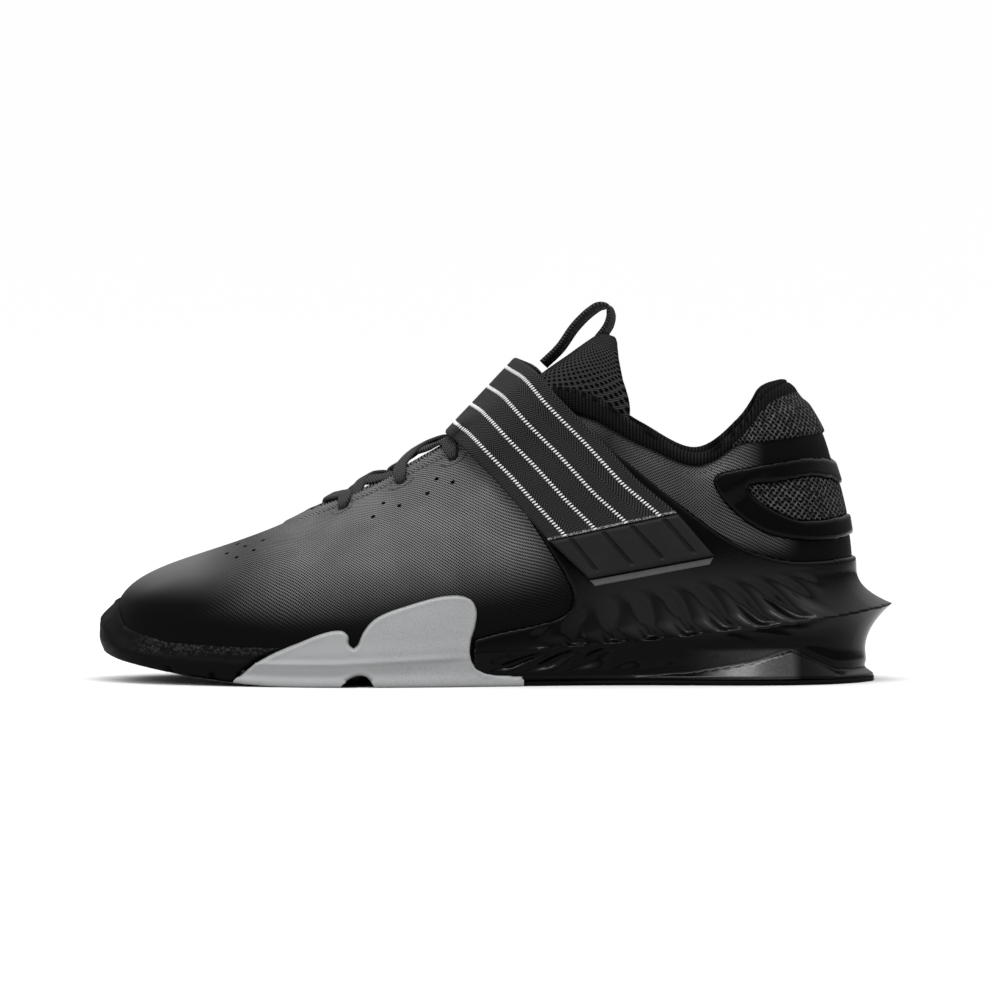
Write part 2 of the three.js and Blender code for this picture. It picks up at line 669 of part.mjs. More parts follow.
function heelRounds(fromStation, count) {
  const even = evenStations(fromStation, lastStation, count);
  return [
    ...even.map((station) => roundAt(-1, station)),
    ...even.slice(0, -1).reverse().map((station) => roundAt(1, station)),
  ];
}

function buildOverlay(outline, fromStation, lowUp, highUp, thickness, columns, rows) {
  const under = () => gap;
  const over = () => gap + thickness;
  const wall = band(heelRounds(fromStation, columns), lowUp, highUp, under, over, rows);
  return wall.intersect(prism(outline));
}

// The tongue: a padded strip that fills the throat and rises in front of the ankle.
// along, up: its middle line. wide: half its width. deep: how far its sides fall back from the middle.
// thick: its thickness. Shares of the last's length, the collar height and the ball width.
const tongueRows = [
  { along: 0.225, up: 0.485, wide: 0.12, deep: 0.05, thick: 0.016 },
  { along: 0.29, up: 0.555, wide: 0.17, deep: 0.07, thick: 0.02 },
  { along: 0.37, up: 0.645, wide: 0.2, deep: 0.09, thick: 0.028 },
  { along: 0.45, up: 0.765, wide: 0.21, deep: 0.13, thick: 0.034 },
  { along: 0.52, up: 0.895, wide: 0.205, deep: 0.26, thick: 0.04 },
  { along: 0.575, up: 1.015, wide: 0.2, deep: 0.36, thick: 0.05 },
  { along: 0.615, up: 1.085, wide: 0.2, deep: 0.205, thick: 0.056 },
  { along: 0.645, up: 1.137, wide: 0.18, deep: 0.095, thick: 0.056 },
  { along: 0.66, up: 1.16, wide: 0.13, deep: 0.05, thick: 0.04 },
];
const tongueShift = 1.2;
const tongueAcross = 8;
const tongueSteps = 18;

function smoothThrough(points) {
  return new THREE.CatmullRomCurve3(points, false, "centripetal");
}

function buildTongue() {
  const line = smoothThrough(
    tongueRows.map((row) => new THREE.Vector3(lengthAt(row.along), 0, heightAt(row.up))),
  );
  const spread = smoothThrough(
    tongueRows.map((row) => new THREE.Vector3(widthAt(row.wide), widthAt(row.thick), widthAt(row.deep))),
  );
  const level = new THREE.Vector3(0.92, 0, -0.39);
  const rings = Array.from({ length: tongueSteps + 1 }, (_, i) => {
    const share = i / tongueSteps;
    const middle = line.getPoint(share);
    const { x: wide, y: thick, z: deep } = spread.getPoint(share);
    const ahead = line.getTangent(share);
    const back = new THREE.Vector3(ahead.z, 0, -ahead.x).lerp(level, smooth((share - 0.45) / 0.3));
    back.normalize();
    const outer = [];
    const inner = [];
    for (let j = 0; j <= tongueAcross; j++) {
      const angle = mix(-Math.PI / 2, Math.PI / 2, j / tongueAcross);
      const fall = (1 - Math.cos(angle)) ** 1.1;
      const padded = thick * (0.35 + 0.65 * Math.sqrt(Math.cos(angle)));
      const place = (inset) =>
        new THREE.Vector3(middle.x, tongueShift + (wide - inset * 0.4) * Math.sin(angle), middle.z)
          .addScaledVector(back, fall * (deep - inset * 0.2) + inset);
      outer.push(place(0));
      inner.push(place(padded));
    }
    return [...outer, ...inner.reverse()];
  });
  return loft(rings).subtract(upperWallSolid(gap));
}

// A strip of webbing or lace: sections of a given width and thickness along a path.
function strip(path, steps, width, thickness, upward) {
  const rings = Array.from({ length: steps + 1 }, (_, i) => {
    const point = path.getPoint(i / steps);
    const ahead = path.getTangent(i / steps);
    const across = upward.clone().cross(ahead).normalize().multiplyScalar(width / 2);
    const over = ahead.clone().cross(across).normalize().multiplyScalar(thickness / 2);
    const corner = (wide, high) => point.clone().addScaledVector(across, wide).addScaledVector(over, high);
    return [
      corner(-0.6, 1), corner(0.6, 1), corner(1, 0), corner(0.6, -1), corner(-0.6, -1), corner(-1, 0),
    ];
  });
  return loft(rings);
}

// The pull loop on the tongue's top, as places seen from the side.
const pullLoopRows = [
  { along: 0.5815, up: 1.052 }, { along: 0.604, up: 1.106 }, { along: 0.6242, up: 1.176 },
  { along: 0.6446, up: 1.226 }, { along: 0.6582, up: 1.2457 }, { along: 0.6691, up: 1.242 },
  { along: 0.673, up: 1.219 }, { along: 0.6702, up: 1.186 }, { along: 0.661, up: 1.1655 },
];
const pullLoopWidth = 8.5;
const pullLoopThickness = 1.7;
const pullLoopSteps = 18;

function buildPullLoop() {
  const path = smoothThrough(
    pullLoopRows.map((row) => new THREE.Vector3(lengthAt(row.along), tongueShift, heightAt(row.up))),
  );
  const across = new THREE.Vector3(0, 1, 0);
  const rings = Array.from({ length: pullLoopSteps + 1 }, (_, i) => {
    const point = path.getPoint(i / pullLoopSteps);
    const over = path.getTangent(i / pullLoopSteps).cross(across).multiplyScalar(pullLoopThickness / 2);
    const edge = across.clone().multiplyScalar(pullLoopWidth / 2);
    return [
      point.clone().add(over).sub(edge), point.clone().add(over).add(edge),
      point.clone().sub(over).add(edge), point.clone().sub(over).sub(edge),
    ];
  });
  return loft(rings);
}

// The strap: webbing over the instep that ends in a sewn tab on the outer side.
// share: 0 on the crest, 1 where the webbing ends. frontAlong, frontUp, rearAlong, rearUp: its two
// edges seen from the side. frontOut, rearOut: their least distance from the middle.
const strapRows = [
  { share: 0, frontAlong: 0.4495, frontUp: 0.8224, rearAlong: 0.5414, rearUp: 1.0733, frontOut: 0, rearOut: 0 },
  { share: 0.125, frontAlong: 0.4649, frontUp: 0.8, rearAlong: 0.574, rearUp: 1.034, frontOut: 0.205, rearOut: 0.25 },
  { share: 0.25, frontAlong: 0.4835, frontUp: 0.7595, rearAlong: 0.596, rearUp: 0.966, frontOut: 0.29, rearOut: 0.32 },
  { share: 0.5, frontAlong: 0.52, frontUp: 0.6655, rearAlong: 0.654, rearUp: 0.822, frontOut: 0.325, rearOut: 0.335 },
  { share: 0.75, frontAlong: 0.5544, frontUp: 0.5716, rearAlong: 0.707, rearUp: 0.679, frontOut: 0.375, rearOut: 0.35 },
  { share: 1, frontAlong: 0.5877, frontUp: 0.4793, rearAlong: 0.7611, rearUp: 0.5698, frontOut: 0.4, rearOut: 0.375 },
  { share: 1.3, frontAlong: 0.6418, frontUp: 0.3534, rearAlong: 0.8102, rearUp: 0.4293, frontOut: 0.42, rearOut: 0.39 },
  { share: 1.38, frontAlong: 0.654, frontUp: 0.32, rearAlong: 0.801, rearUp: 0.388, frontOut: 0.42, rearOut: 0.39 },
];
const strapThickness = 1.9;
const strapClear = 0.9;
const tabThickness = 2.6;
const tabOverlap = 0.005;
const underlayFrom = 1.307;
const underlayTo = 1.375;
const underlayThickness = 1.1;

// A point of the strap: outward of the upper and its wing, or further out where the webbing is free.
const strapColumns = 3;
function strapPoint(side, share, across) {
  const row = rowAt(strapRows, share);
  const x = lengthAt(mix(row.frontAlong, row.rearAlong, across));
  const z = heightAt(mix(row.frontUp, row.rearUp, across));
  const free = widthAt(mix(row.frontOut, row.rearOut, across));
  const rimStation = rimStationAt(x);
  const rim = skin(roundAt(side, rimStation), 1).z;
  const held = z < rim + 6 ? Math.abs(wallAcross(side, x, z)) + gap + cageWall + strapClear : 0;
  return new THREE.Vector3(x, side * Math.max(free, held), z);
}

// The station where the top edge passes a place along the shoe.
function rimStationAt(x) {
  let front = 1;
  let back = lastStation;
  for (let step = 0; step < 16; step++) {
    const station = (front + back) / 2;
    if (skin(roundAt(-1, station), 1).x < x) front = station;
    else back = station;
  }
  return front;
}

// Sections of the strap on both sides of the crest; each is a line from its front to its rear edge.
const strapSides = [1, 0.85, 0.7, 0.55, 0.42, 0.3, 0.2, 0.12, 0.06];
function strapLine(side, share) {
  return Array.from({ length: strapColumns + 1 }, (_, j) => strapPoint(side, share, j / strapColumns));
}

function strapSheet(lines, lift, thickness) {
  const rings = lines.map((line, i) => {
    const before = lines[Math.max(0, i - 1)];
    const after = lines[Math.min(lines.length - 1, i + 1)];
    const across = line[strapColumns].clone().sub(line[0]);
    const normal = across.cross(after[1].clone().sub(before[1])).normalize();
    const raised = (amount) => line.map((point) => point.clone().addScaledVector(normal, amount));
    return [...raised(lift + thickness), ...raised(lift).reverse()];
  });
  return loft(rings);
}

function buildStrap() {
  const near = strapSides.map((share) => strapLine(-1, share));
  const far = [1.3, 1.15, ...strapSides].map((share) => strapLine(1, share)).reverse();
  return strapSheet([...near, strapLine(-1, 0), ...far], 0, strapThickness);
}

function buildUnderlay() {
  const lines = [underlayTo, underlayFrom].map((share) => strapLine(-1, share));
  return strapSheet(lines, gap, underlayThickness);
}

function buildTab() {
  const lines = [1 + tabOverlap, 1.1, 1.2, 1.3].map((share) => strapLine(-1, share)).reverse();
  return strapSheet(lines, gap, tabThickness);
}

// The laces: a bar across the first pair of holes, then a crossing between each pair and the next.
// from, to: pairs of holes. starts, ends: 1 where the lace lies outside of that hole, else 0.
// over: how far it clears the throat's edge there. arch: how high it stands in the middle.
const laceRows = [
  { from: 0, to: 0, starts: 1, ends: 1, over: 1.7, arch: 1.9 },
  { from: 0, to: 1, starts: 0, ends: 0, over: -0.4, arch: 2.9 },
  { from: 1, to: 2, starts: 1, ends: 1, over: 2, arch: 3.8 },
  { from: 2, to: 3, starts: 0, ends: 0, over: -0.4, arch: 2.8 },
  { from: 3, to: 4, starts: 1, ends: 0, over: 3.5, arch: 6.4 },
];
const laceWidth = 5.6;
const laceThickness = 1.9;
const laceEdge = 0.955;
const laceCrossing = 0.7;
const throatUp = new THREE.Vector3(-0.49, 0, 0.87);

function laceEnd(side, eyelet, outside, over, far) {
  const round = eyeletRound(side, eyelet);
  const rim = skin(round, 1);
  const farRim = skin(eyeletRound(-side, far), 1);
  if (!outside) return [rim.clone().lerp(farRim, 0.13).addScaledVector(throatUp, Math.min(over, -0.4))];
  const aboveRim = rim.clone().lerp(farRim, 0.04).addScaledVector(throatUp, over);
  return [form(round, laceEdge, laceThickness / 2 + gap + 0.2), aboveRim];
}

function laceStrand(side, row, offset) {
  const [near, far] = [eyelets[row.from], eyelets[row.to]];
  const start = laceEnd(side, near, row.starts, row.over, far);
  const end = laceEnd(-side, far, row.ends, row.over, near).reverse();
  const [a, b] = [start[start.length - 1], end[0]];
  const lowest = row.over;
  const middle = (share, lift) => {
    const rise = lift * (row.arch - lowest) + offset;
    return a.clone().lerp(b, share).addScaledVector(throatUp, rise);
  };
  const path = smoothThrough([...start, middle(0.25, 0.62), middle(0.5, 1), middle(0.75, 0.62), ...end]);
  return strip(path, 12, laceWidth, laceThickness, throatUp);
}

const solids = {};
solids.upper = buildUpper();
const last = filledLast(gap);
solids.outsole_toe = buildToeSole(last);
solids.sole_forefoot = buildForefoot(last);
solids.heel_unit = buildHeel(last);
solids.outsole_heel = buildHeelTread();
solids.insole = buildInsole();
solids.heel_counter = buildOverlay(counterOutline, 9.4, 0.3, 0.985, overlayWall, 11, 5)
  .subtract(prism(windowOutline));
solids.heel_knit = buildOverlay(knitOutline, 9.9, 0.55, 0.985, overlayWall, 10, 4);
solids.tongue = buildTongue();
solids.pull_loop = buildPullLoop();
solids.strap = buildStrap();
solids.strap_tab = buildTab();
solids.strap_underlay = buildUnderlay();
laceRows.forEach((row, i) => {
  if (i === 0) {
    solids.lace_bar = laceStrand(-1, row, 0);
    return;
  }
  const outerStrand = laceStrand(-1, row, laceCrossing);
  solids[`lace_cross_${i}`] = outerStrand.add(laceStrand(1, row, -laceCrossing));
});

// Finishes
const finishes = {
  textile: { color: 0x1c1c1e, roughness: 0.7, metalness: 0 },
  knit: { color: 0x222224, roughness: 0.9, metalness: 0 },
  heelPlastic: { color: 0x0c0c0d, roughness: 0.25, metalness: 0 },
  rubber: { color: 0x141415, roughness: 0.75, metalness: 0 },
  paleRubber: { color: 0xa6a8a8, roughness: 0.5, metalness: 0 },
  webbing: { color: 0x1b1b1c, roughness: 0.85, metalness: 0 },
  foam: { color: 0x2a2a2b, roughness: 0.95, metalness: 0 },
  tabPlastic: { color: 0x2e2f30, roughness: 0.5, metalness: 0 },
  tabEdge: { color: 0x5a5b5c, roughness: 0.6, metalness: 0 },
};
const finishOf = {
  upper: "textile",
  outsole_toe: "rubber",
  sole_forefoot: "paleRubber",
  heel_unit: "heelPlastic",
  outsole_heel: "rubber",
  insole: "foam",
  heel_counter: "heelPlastic",
  heel_knit: "knit",
  tongue: "knit",
  pull_loop: "webbing",
  strap: "webbing",
  strap_tab: "tabPlastic",
  strap_underlay: "tabEdge",
};

function meshOf(name, solid) {
  const made = solid.getMesh();
  const geometry = new THREE.BufferGeometry()
    .setAttribute("position", new THREE.BufferAttribute(new Float32Array(made.vertProperties), 3))
    .setIndex(new THREE.BufferAttribute(new Uint32Array(made.triVerts), 1));
  geometry.computeVertexNormals();
  const mesh = new THREE.Mesh(geometry, new THREE.MeshStandardMaterial(finishes[finishOf[name] ?? "webbing"]));
  mesh.name = name;
  return mesh;
}

const shoe = new THREE.Group();
for (const [name, solid] of Object.entries(solids)) shoe.add(meshOf(name, solid));
export default shoe;
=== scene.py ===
import math

import bpy
import numpy as np
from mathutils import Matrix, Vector
from mathutils.geometry import delaunay_2d_cdt
from mathutils.kdtree import KDTree


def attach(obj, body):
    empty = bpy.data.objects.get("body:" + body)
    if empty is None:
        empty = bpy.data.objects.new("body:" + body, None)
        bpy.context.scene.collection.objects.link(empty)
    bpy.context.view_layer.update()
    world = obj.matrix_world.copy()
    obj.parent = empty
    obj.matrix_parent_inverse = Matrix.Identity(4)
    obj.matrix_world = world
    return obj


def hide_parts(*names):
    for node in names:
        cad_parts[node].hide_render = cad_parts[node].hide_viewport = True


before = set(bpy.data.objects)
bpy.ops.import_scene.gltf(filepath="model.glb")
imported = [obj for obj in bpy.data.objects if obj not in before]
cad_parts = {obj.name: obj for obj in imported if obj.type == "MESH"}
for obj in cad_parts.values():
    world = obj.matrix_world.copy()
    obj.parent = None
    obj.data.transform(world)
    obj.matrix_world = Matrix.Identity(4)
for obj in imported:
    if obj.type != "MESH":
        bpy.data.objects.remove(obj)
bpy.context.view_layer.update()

# The table that the shoe stands on is a wide pale sheet that runs far behind the shoe, lit by a
# soft overhead tent. The light is strongest from above, and three softboxes give the gloss its shape.
bpy.ops.object.select_all(action="DESELECT")
bpy.ops.mesh.primitive_plane_add(size=400)
table_top = bpy.context.object
table_top.name = "table_top"

pale_paint = bpy.data.materials.new("pale_paint")
pale_paint.use_nodes = True
pale_paint.node_tree.nodes["Principled BSDF"].inputs["Base Color"].default_value = (0.66, 0.66, 0.66, 1)
pale_paint.node_tree.nodes["Principled BSDF"].inputs["Roughness"].default_value = 0.9
table_top.data.materials.append(pale_paint)

tent = bpy.data.worlds.new("tent")
bpy.context.scene.world = tent
tent.use_nodes = True
tent_nodes = tent.node_tree.nodes
tent_links = tent.node_tree.links
direction = tent_nodes.new("ShaderNodeTexCoord")
height_of = tent_nodes.new("ShaderNodeSeparateXYZ")
brightness = tent_nodes.new("ShaderNodeMapRange")
brightness.inputs["From Min"].default_value = 0.0
brightness.inputs["From Max"].default_value = 1.0
brightness.inputs["To Min"].default_value = 0.1
brightness.inputs["To Max"].default_value = 2.2
tent_links.new(direction.outputs["Generated"], height_of.inputs[0])
tent_links.new(height_of.outputs["Z"], brightness.inputs["Value"])
tent_links.new(brightness.outputs["Result"], tent_nodes["Background"].inputs["Strength"])
tent_nodes["Background"].inputs["Color"].default_value = (1, 1, 1, 1)


def softbox(name, place, target, wide, high, energy):
    light = bpy.data.lights.new(name, "AREA")
    light.shape = "RECTANGLE"
    light.size = wide
    light.size_y = high
    light.energy = energy
    lamp = bpy.data.objects.new(name, light)
    bpy.context.scene.collection.objects.link(lamp)
    lamp.location = place
    lamp.rotation_euler = (Vector(target) - Vector(place)).to_track_quat("-Z", "Y").to_euler()


softbox("top_softbox", (0.08, -0.4, 0.95), (0.02, 0, 0.05), 0.6, 0.1, 4.5)
softbox("side_softbox", (-0.75, -0.8, 0.6), (0, 0, 0.05), 0.14, 0.4, 2.2)
softbox("rear_softbox", (-0.9, 0.7, 0.9), (0, 0, 0.05), 0.5, 0.1, 1.6)

# The camera stands a long way off on the outer side of the shoe, a little above the table.
camera_tilt = math.radians(2.4)
camera_reach = 5.0
view_width = 0.3833
view_centre = Vector((0.0004, 0, 0.0712))
lens_data = bpy.data.cameras.new("camera")
lens_data.sensor_width = 36
lens_data.lens = 36 * camera_reach / view_width
lens_data.clip_start = 0.1
lens_data.clip_end = 600
camera = bpy.data.objects.new("camera", lens_data)
bpy.context.scene.collection.objects.link(camera)
away = Vector((0, -math.cos(camera_tilt), math.sin(camera_tilt)))
camera.location = view_centre + away * camera_reach
camera.rotation_euler = (-away).to_track_quat("-Z", "Y").to_euler()
bpy.context.scene.camera = camera
bpy.context.scene.view_settings.view_transform = "Standard"

# The upper is one piece of woven textile with a smooth film fused over the toe and the lower edge.
# It is shaped over a last: the shape follows fifteen stations from the toe's centre to the heel's.
# Sizes are in millimetres until a mesh is made.
mm = 0.001
last_length = 285
last_toe = -147
ball_width = 103
collar_height = 116
ball_bed = 9
heel_bed = 28
upper_wall = 1.8
collar_pad = 4.6
# Each station: along, outer, inner, bed, top, wide, high, lean, rise, reach, drop
stations = np.array([
    [0.0, -0.05, 0.05, 0.36, 0.255, 0, 0.552, 0.048, 0.267, 0.408, 0.177],
    [0.018, 0.146, 0.223, 0.26, 0.256, 0.039, 0.555, 0.048, 0.267, 0.39, 0.172],
    [0.075, 0.301, 0.364, 0.12, 0.262, 0.078, 0.563, 0.048, 0.267, 0.345, 0.152],
    [0.175, 0.427, 0.451, 0.03, 0.283, 0.107, 0.584, 0.048, 0.271, 0.285, 0.118],
    [0.3, 0.505, 0.49, 0.0, 0.34, 0.131, 0.636, 0.048, 0.293, 0.24, 0.078],
    [0.42, 0.485, 0.427, 0.05, 0.42, 0.155, 0.743, 0.04, 0.328, 0.2, 0.095],
    [0.53, 0.417, 0.354, 0.26, 0.505, 0.184, 0.862, 0.032, 0.345, 0.15, 0.172],
    [0.615, 0.369, 0.325, 0.5, 0.58, 0.243, 0.975, 0.032, 0.31, 0.1, 0.259],
    [0.68, 0.345, 0.32, 0.68, 0.645, 0.291, 0.943, 0.032, 0.276, 0.05, 0.259],
    [0.745, 0.335, 0.32, 0.82, 0.715, 0.306, 0.835, 0.035, 0.24, 0.035, 0.235],
    [0.805, 0.33, 0.325, 0.9, 0.79, 0.311, 0.75, 0.039, 0.19, 0.02, 0.172],
    [0.875, 0.316, 0.32, 0.96, 0.845, 0.291, 0.842, 0.039, 0.207, 0.039, 0.19],
    [0.945, 0.248, 0.252, 1.0, 0.879, 0.228, 0.955, 0.034, 0.224, 0.09, 0.19],
    [0.985, 0.131, 0.131, 1.0, 0.9, 0.121, 0.985, 0.029, 0.233, 0.15, 0.181],
    [1.0, 0, 0, 1.0, 0.91, 0, 0.99, 0.023, 0.233, 0.194, 0.181],
])
last_station = len(stations) - 1
loop_count = 2 * last_station
collar_station = 7
throat_shift = 0.025


def length_at(share):
    return last_toe + np.asarray(share, float) * last_length


def height_at(share):
    return np.asarray(share, float) * collar_height


def smooth(value):
    value = np.clip(value, 0, 1)
    return value * value * (3 - 2 * value)


def blend(a, b, share):
    return a + (b - a) * share


def through(points, closed=False):
    """A smooth curve through points; the result gives places along it for shares from 0 to 1."""
    points = np.asarray(points, float)
    if closed:
        held = np.vstack([points[-1:], points, points[:2]])
        spans = len(points)
    else:
        held = np.vstack([2 * points[:1] - points[1:2], points, 2 * points[-1:] - points[-2:-1]])
        spans = len(points) - 1
    step = np.maximum((np.diff(held, axis=0) ** 2).sum(1) ** 0.25, 1e-9)

    def at(share):
        share = np.asarray(share, float)
        place = (share % 1.0 if closed else np.clip(share, 0, 1)) * spans
        i = np.minimum(place.astype(int), spans - 1)
        w = (place - i)[..., None]
        p0, p1, p2, p3 = (held[i + k] for k in range(4))
        d0, d1, d2 = (step[i + k][..., None] for k in range(3))
        leave = ((p1 - p0) / d0 - (p2 - p0) / (d0 + d1) + (p2 - p1) / d1) * d1
        arrive = ((p2 - p1) / d1 - (p3 - p1) / (d1 + d2) + (p3 - p2) / d2) * d1
        curve = 3 * (p2 - p1) - 2 * leave - arrive
        return p1 + leave * w + curve * w**2 + (2 * (p1 - p2) + leave + arrive) * w**3

    return at


order = np.r_[0:last_station + 1, last_station - 1:0:-1]
sides = np.r_[-np.ones(last_station + 1), np.ones(last_station - 1)]
along, outer, inner, bed, top, wide, high, lean, rise, reach, drop = stations[order].T
half = np.where(sides < 0, outer, inner)
feet = np.c_[length_at(along), sides * half * ball_width, blend(ball_bed, heel_bed, bed)]
shift = throat_shift * smooth((last_station - 4 - order) / collar_station)
tops = np.c_[length_at(top), (sides * wide + shift) * ball_width, height_at(high)]
run = np.roll(feet, -1, 0) - np.roll(feet, 1, 0)
outward = np.c_[run[:, 1], -run[:, 0], 0 * run[:, 0]]
outward /= np.linalg.norm(outward, axis=1)[:, None]
lows = feet + outward * (lean * ball_width)[:, None]
lows[:, 2] = feet[:, 2] + height_at(rise)
highs = tops + outward * (reach * ball_width)[:, None]
highs[:, 2] = tops[:, 2] - height_at(drop)
loop_samples = 5600
fine = np.arange(loop_samples) / loop_samples
wall_loops = [through(points, closed=True)(fine) for points in (feet, lows, highs, tops)]


def on_loop(loop, around):
    place = (np.asarray(around, float) % 1.0) * loop_samples
    i = place.astype(int) % loop_samples
    w = (place - np.floor(place))[..., None]
    return loop[i] * (1 - w) + loop[(i + 1) % loop_samples] * w


def skin(around, up):
    """The upper's outer surface: around goes about the shoe, up from its foot to its top edge."""
    up = np.asarray(up, float)[..., None]
    foot, low, high_loop, top_loop = (on_loop(loop, around) for loop in wall_loops)
    down = 1 - up
    return foot * down**3 + 3 * low * down**2 * up + 3 * high_loop * down * up**2 + top_loop * up**3


def unit(vectors):
    return vectors / np.maximum(np.linalg.norm(vectors, axis=-1, keepdims=True), 1e-12)


def run_along(path):
    """The distance walked along a path, at each of its places."""
    return np.r_[0, np.cumsum(np.linalg.norm(np.diff(path, axis=0), axis=1))]


def normal_at(around, up):
    near = 0.004
    across = skin(around + near, up) - skin(around - near, up)
    rising = skin(around, np.minimum(1, up + near)) - skin(around, np.maximum(0, up - near))
    return unit(np.cross(across, rising))


def form(around, up, lift):
    around, up, lift = np.broadcast_arrays(*(np.asarray(v, float) for v in (around, up, lift)))
    return skin(around, up) + normal_at(around, up) * lift[..., None]


def up_at(around, height):
    around, height = np.broadcast_arrays(np.asarray(around, float), np.asarray(height, float))
    below = np.zeros(around.shape)
    above = np.ones(around.shape)
    for _ in range(20):
        middle = (below + above) / 2
        under = skin(around, middle)[..., 2] < height
        below = np.where(under, middle, below)
        above = np.where(under, above, middle)
    return below


def foot_normal(around):
    run_past = on_loop(wall_loops[0], around + 0.004) - on_loop(wall_loops[0], around - 0.004)
    return unit(np.stack([run_past[..., 1], -run_past[..., 0], 0 * run_past[..., 0]], -1))


def around_at(side, station):
    return np.where(side < 0, station / loop_count, 1 - station / loop_count)


def station_at(side, x, z):
    """The station where the wall passes a place seen from the side."""
    x, z = np.broadcast_arrays(np.asarray(x, float), np.asarray(z, float))
    front = np.full(x.shape, 0.02)
    back = np.full(x.shape, last_station - 0.02)
    for _ in range(18):
        middle = (front + back) / 2
        around = around_at(side, middle)
        ahead = skin(around, up_at(around, z))[..., 0] < x
        front = np.where(ahead, middle, front)
        back = np.where(ahead, back, middle)
    return front


foot_run = run_along(np.vstack([wall_loops[0], wall_loops[0][:1]]))
foot_length = foot_run[-1]
loop_shares = np.arange(loop_samples + 1) / loop_samples


def run_at(around):
    """The distance along the upper's foot, from the toe's centre round the outer side."""
    return np.interp(np.asarray(around, float) % 1.0, loop_shares, foot_run)


def around_of(distance):
    return np.interp(np.asarray(distance, float) % foot_length, foot_run, loop_shares)


def station_of(around):
    return np.minimum(around % 1.0, 1 - around % 1.0) * loop_count


class Tone:
    """A shader value: sums and products of it add their Math nodes."""

    def __init__(self, tree, socket):
        self.tree = tree
        self.socket = socket

    def node(self, kind, settings=(), **inputs):
        made = self.tree.nodes.new(kind)
        for name, value in dict(settings).items():
            setattr(made, name, value)
        for name, value in inputs.items():
            key = int(name[1:]) if name[0] == "i" and name[1:].isdigit() else name.replace("_", " ")
            if isinstance(value, Tone):
                self.tree.links.new(value.socket, made.inputs[key])
            else:
                made.inputs[key].default_value = value
        return made

    def out(self, made, name=0):
        return Tone(self.tree, made.outputs[name])

    def maths(self, operation, *values):
        inputs = {f"i{k}": value for k, value in enumerate(values)}
        return self.out(self.node("ShaderNodeMath", {"operation": operation}, **inputs))

    def __add__(self, other):
        return self.maths("ADD", self, other)

    __radd__ = __add__

    def __sub__(self, other):
        return self.maths("SUBTRACT", self, other)

    def __rsub__(self, other):
        return self.maths("SUBTRACT", other, self)

    def __mul__(self, other):
        return self.maths("MULTIPLY", self, other)

    __rmul__ = __mul__

    def wave(self):
        return self.maths("SINE", self * (2 * math.pi)) * 0.5 + 0.5

    def step(self, low, high):
        made = self.node("ShaderNodeMapRange", {"interpolation_type": "SMOOTHSTEP"},
                         Value=self, From_Min=low, From_Max=high)
        return self.out(made)


class Finish:
    """A material with one Principled shader, and the tones that feed it."""

    def __init__(self, name, colour, roughness, **sockets):
        self.material = bpy.data.materials.new(name)
        self.material.use_nodes = True
        self.tree = self.material.node_tree
        self.shader = self.tree.nodes["Principled BSDF"]
        self.shader.inputs["Base Color"].default_value = (*colour, 1)
        self.shader.inputs["Roughness"].default_value = roughness
        for key, value in sockets.items():
            self.shader.inputs[key.replace("_", " ")].default_value = value
        self.start = Tone(self.tree, None)

    def place(self):
        made = self.start.node("ShaderNodeTexCoord")
        return self.start.out(made, "Object")

    def parts(self, vector):
        made = self.start.node("ShaderNodeSeparateXYZ", i0=vector)
        return [self.start.out(made, k) for k in range(3)]

    def uv(self):
        return self.parts(self.start.out(self.start.node("ShaderNodeUVMap")))[:2]

    def mask(self, name):
        return self.start.out(self.start.node("ShaderNodeAttribute", {"attribute_name": name}), "Fac")

    def noise(self, scale, detail=2.0):
        made = self.start.node("ShaderNodeTexNoise", Vector=self.place(), Scale=scale, Detail=detail)
        return self.start.out(made, "Fac")

    def cells(self, scale):
        made = self.start.node("ShaderNodeTexVoronoi", Vector=self.place(), Scale=scale)
        return self.start.out(made, "Distance")

    def shade(self, amount, dark, light):
        """A colour between dark and light."""
        made = self.start.node("ShaderNodeMix", {"data_type": "RGBA"}, i0=amount)
        for key, value in ((6, dark), (7, light)):
            if isinstance(value, Tone):
                self.tree.links.new(value.socket, made.inputs[key])
            else:
                made.inputs[key].default_value = (*value, 1)
        return self.start.out(made, 2)

    def feed(self, name, value):
        self.tree.links.new(value.socket, self.shader.inputs[name])

    def colour(self, amount, dark, light):
        self.feed("Base Color", self.shade(amount, dark, light))

    def bump(self, height, distance):
        made = self.start.node("ShaderNodeBump", Height=height, Distance=distance, Strength=1.0)
        self.feed("Normal", self.start.out(made))


def crossed(along, across, pitch):
    """The gaps of a net: two slanting waves of one pitch, multiplied."""
    return ((along + across) * (1 / pitch)).wave() * ((along - across) * (1 / pitch)).wave()


def smooth_all(piece):
    piece.data.polygons.foreach_set("use_smooth", np.ones(len(piece.data.polygons), bool))
    piece.data.update()


def pick(*pieces):
    """Selects pieces and makes the first of them active."""
    bpy.ops.object.select_all(action="DESELECT")
    bpy.context.view_layer.objects.active = pieces[0]
    for piece in pieces:
        piece.select_set(True)


def joined(pieces):
    pick(*pieces)
    bpy.ops.object.join()
    return pieces[0]


def weld(piece, near=0.00002):
    pick(piece)
    bpy.ops.object.mode_set(mode="EDIT")
    bpy.ops.mesh.select_all(action="SELECT")
    bpy.ops.mesh.remove_doubles(threshold=near)
    bpy.ops.mesh.normals_make_consistent(inside=False)
    bpy.ops.object.mode_set(mode="OBJECT")


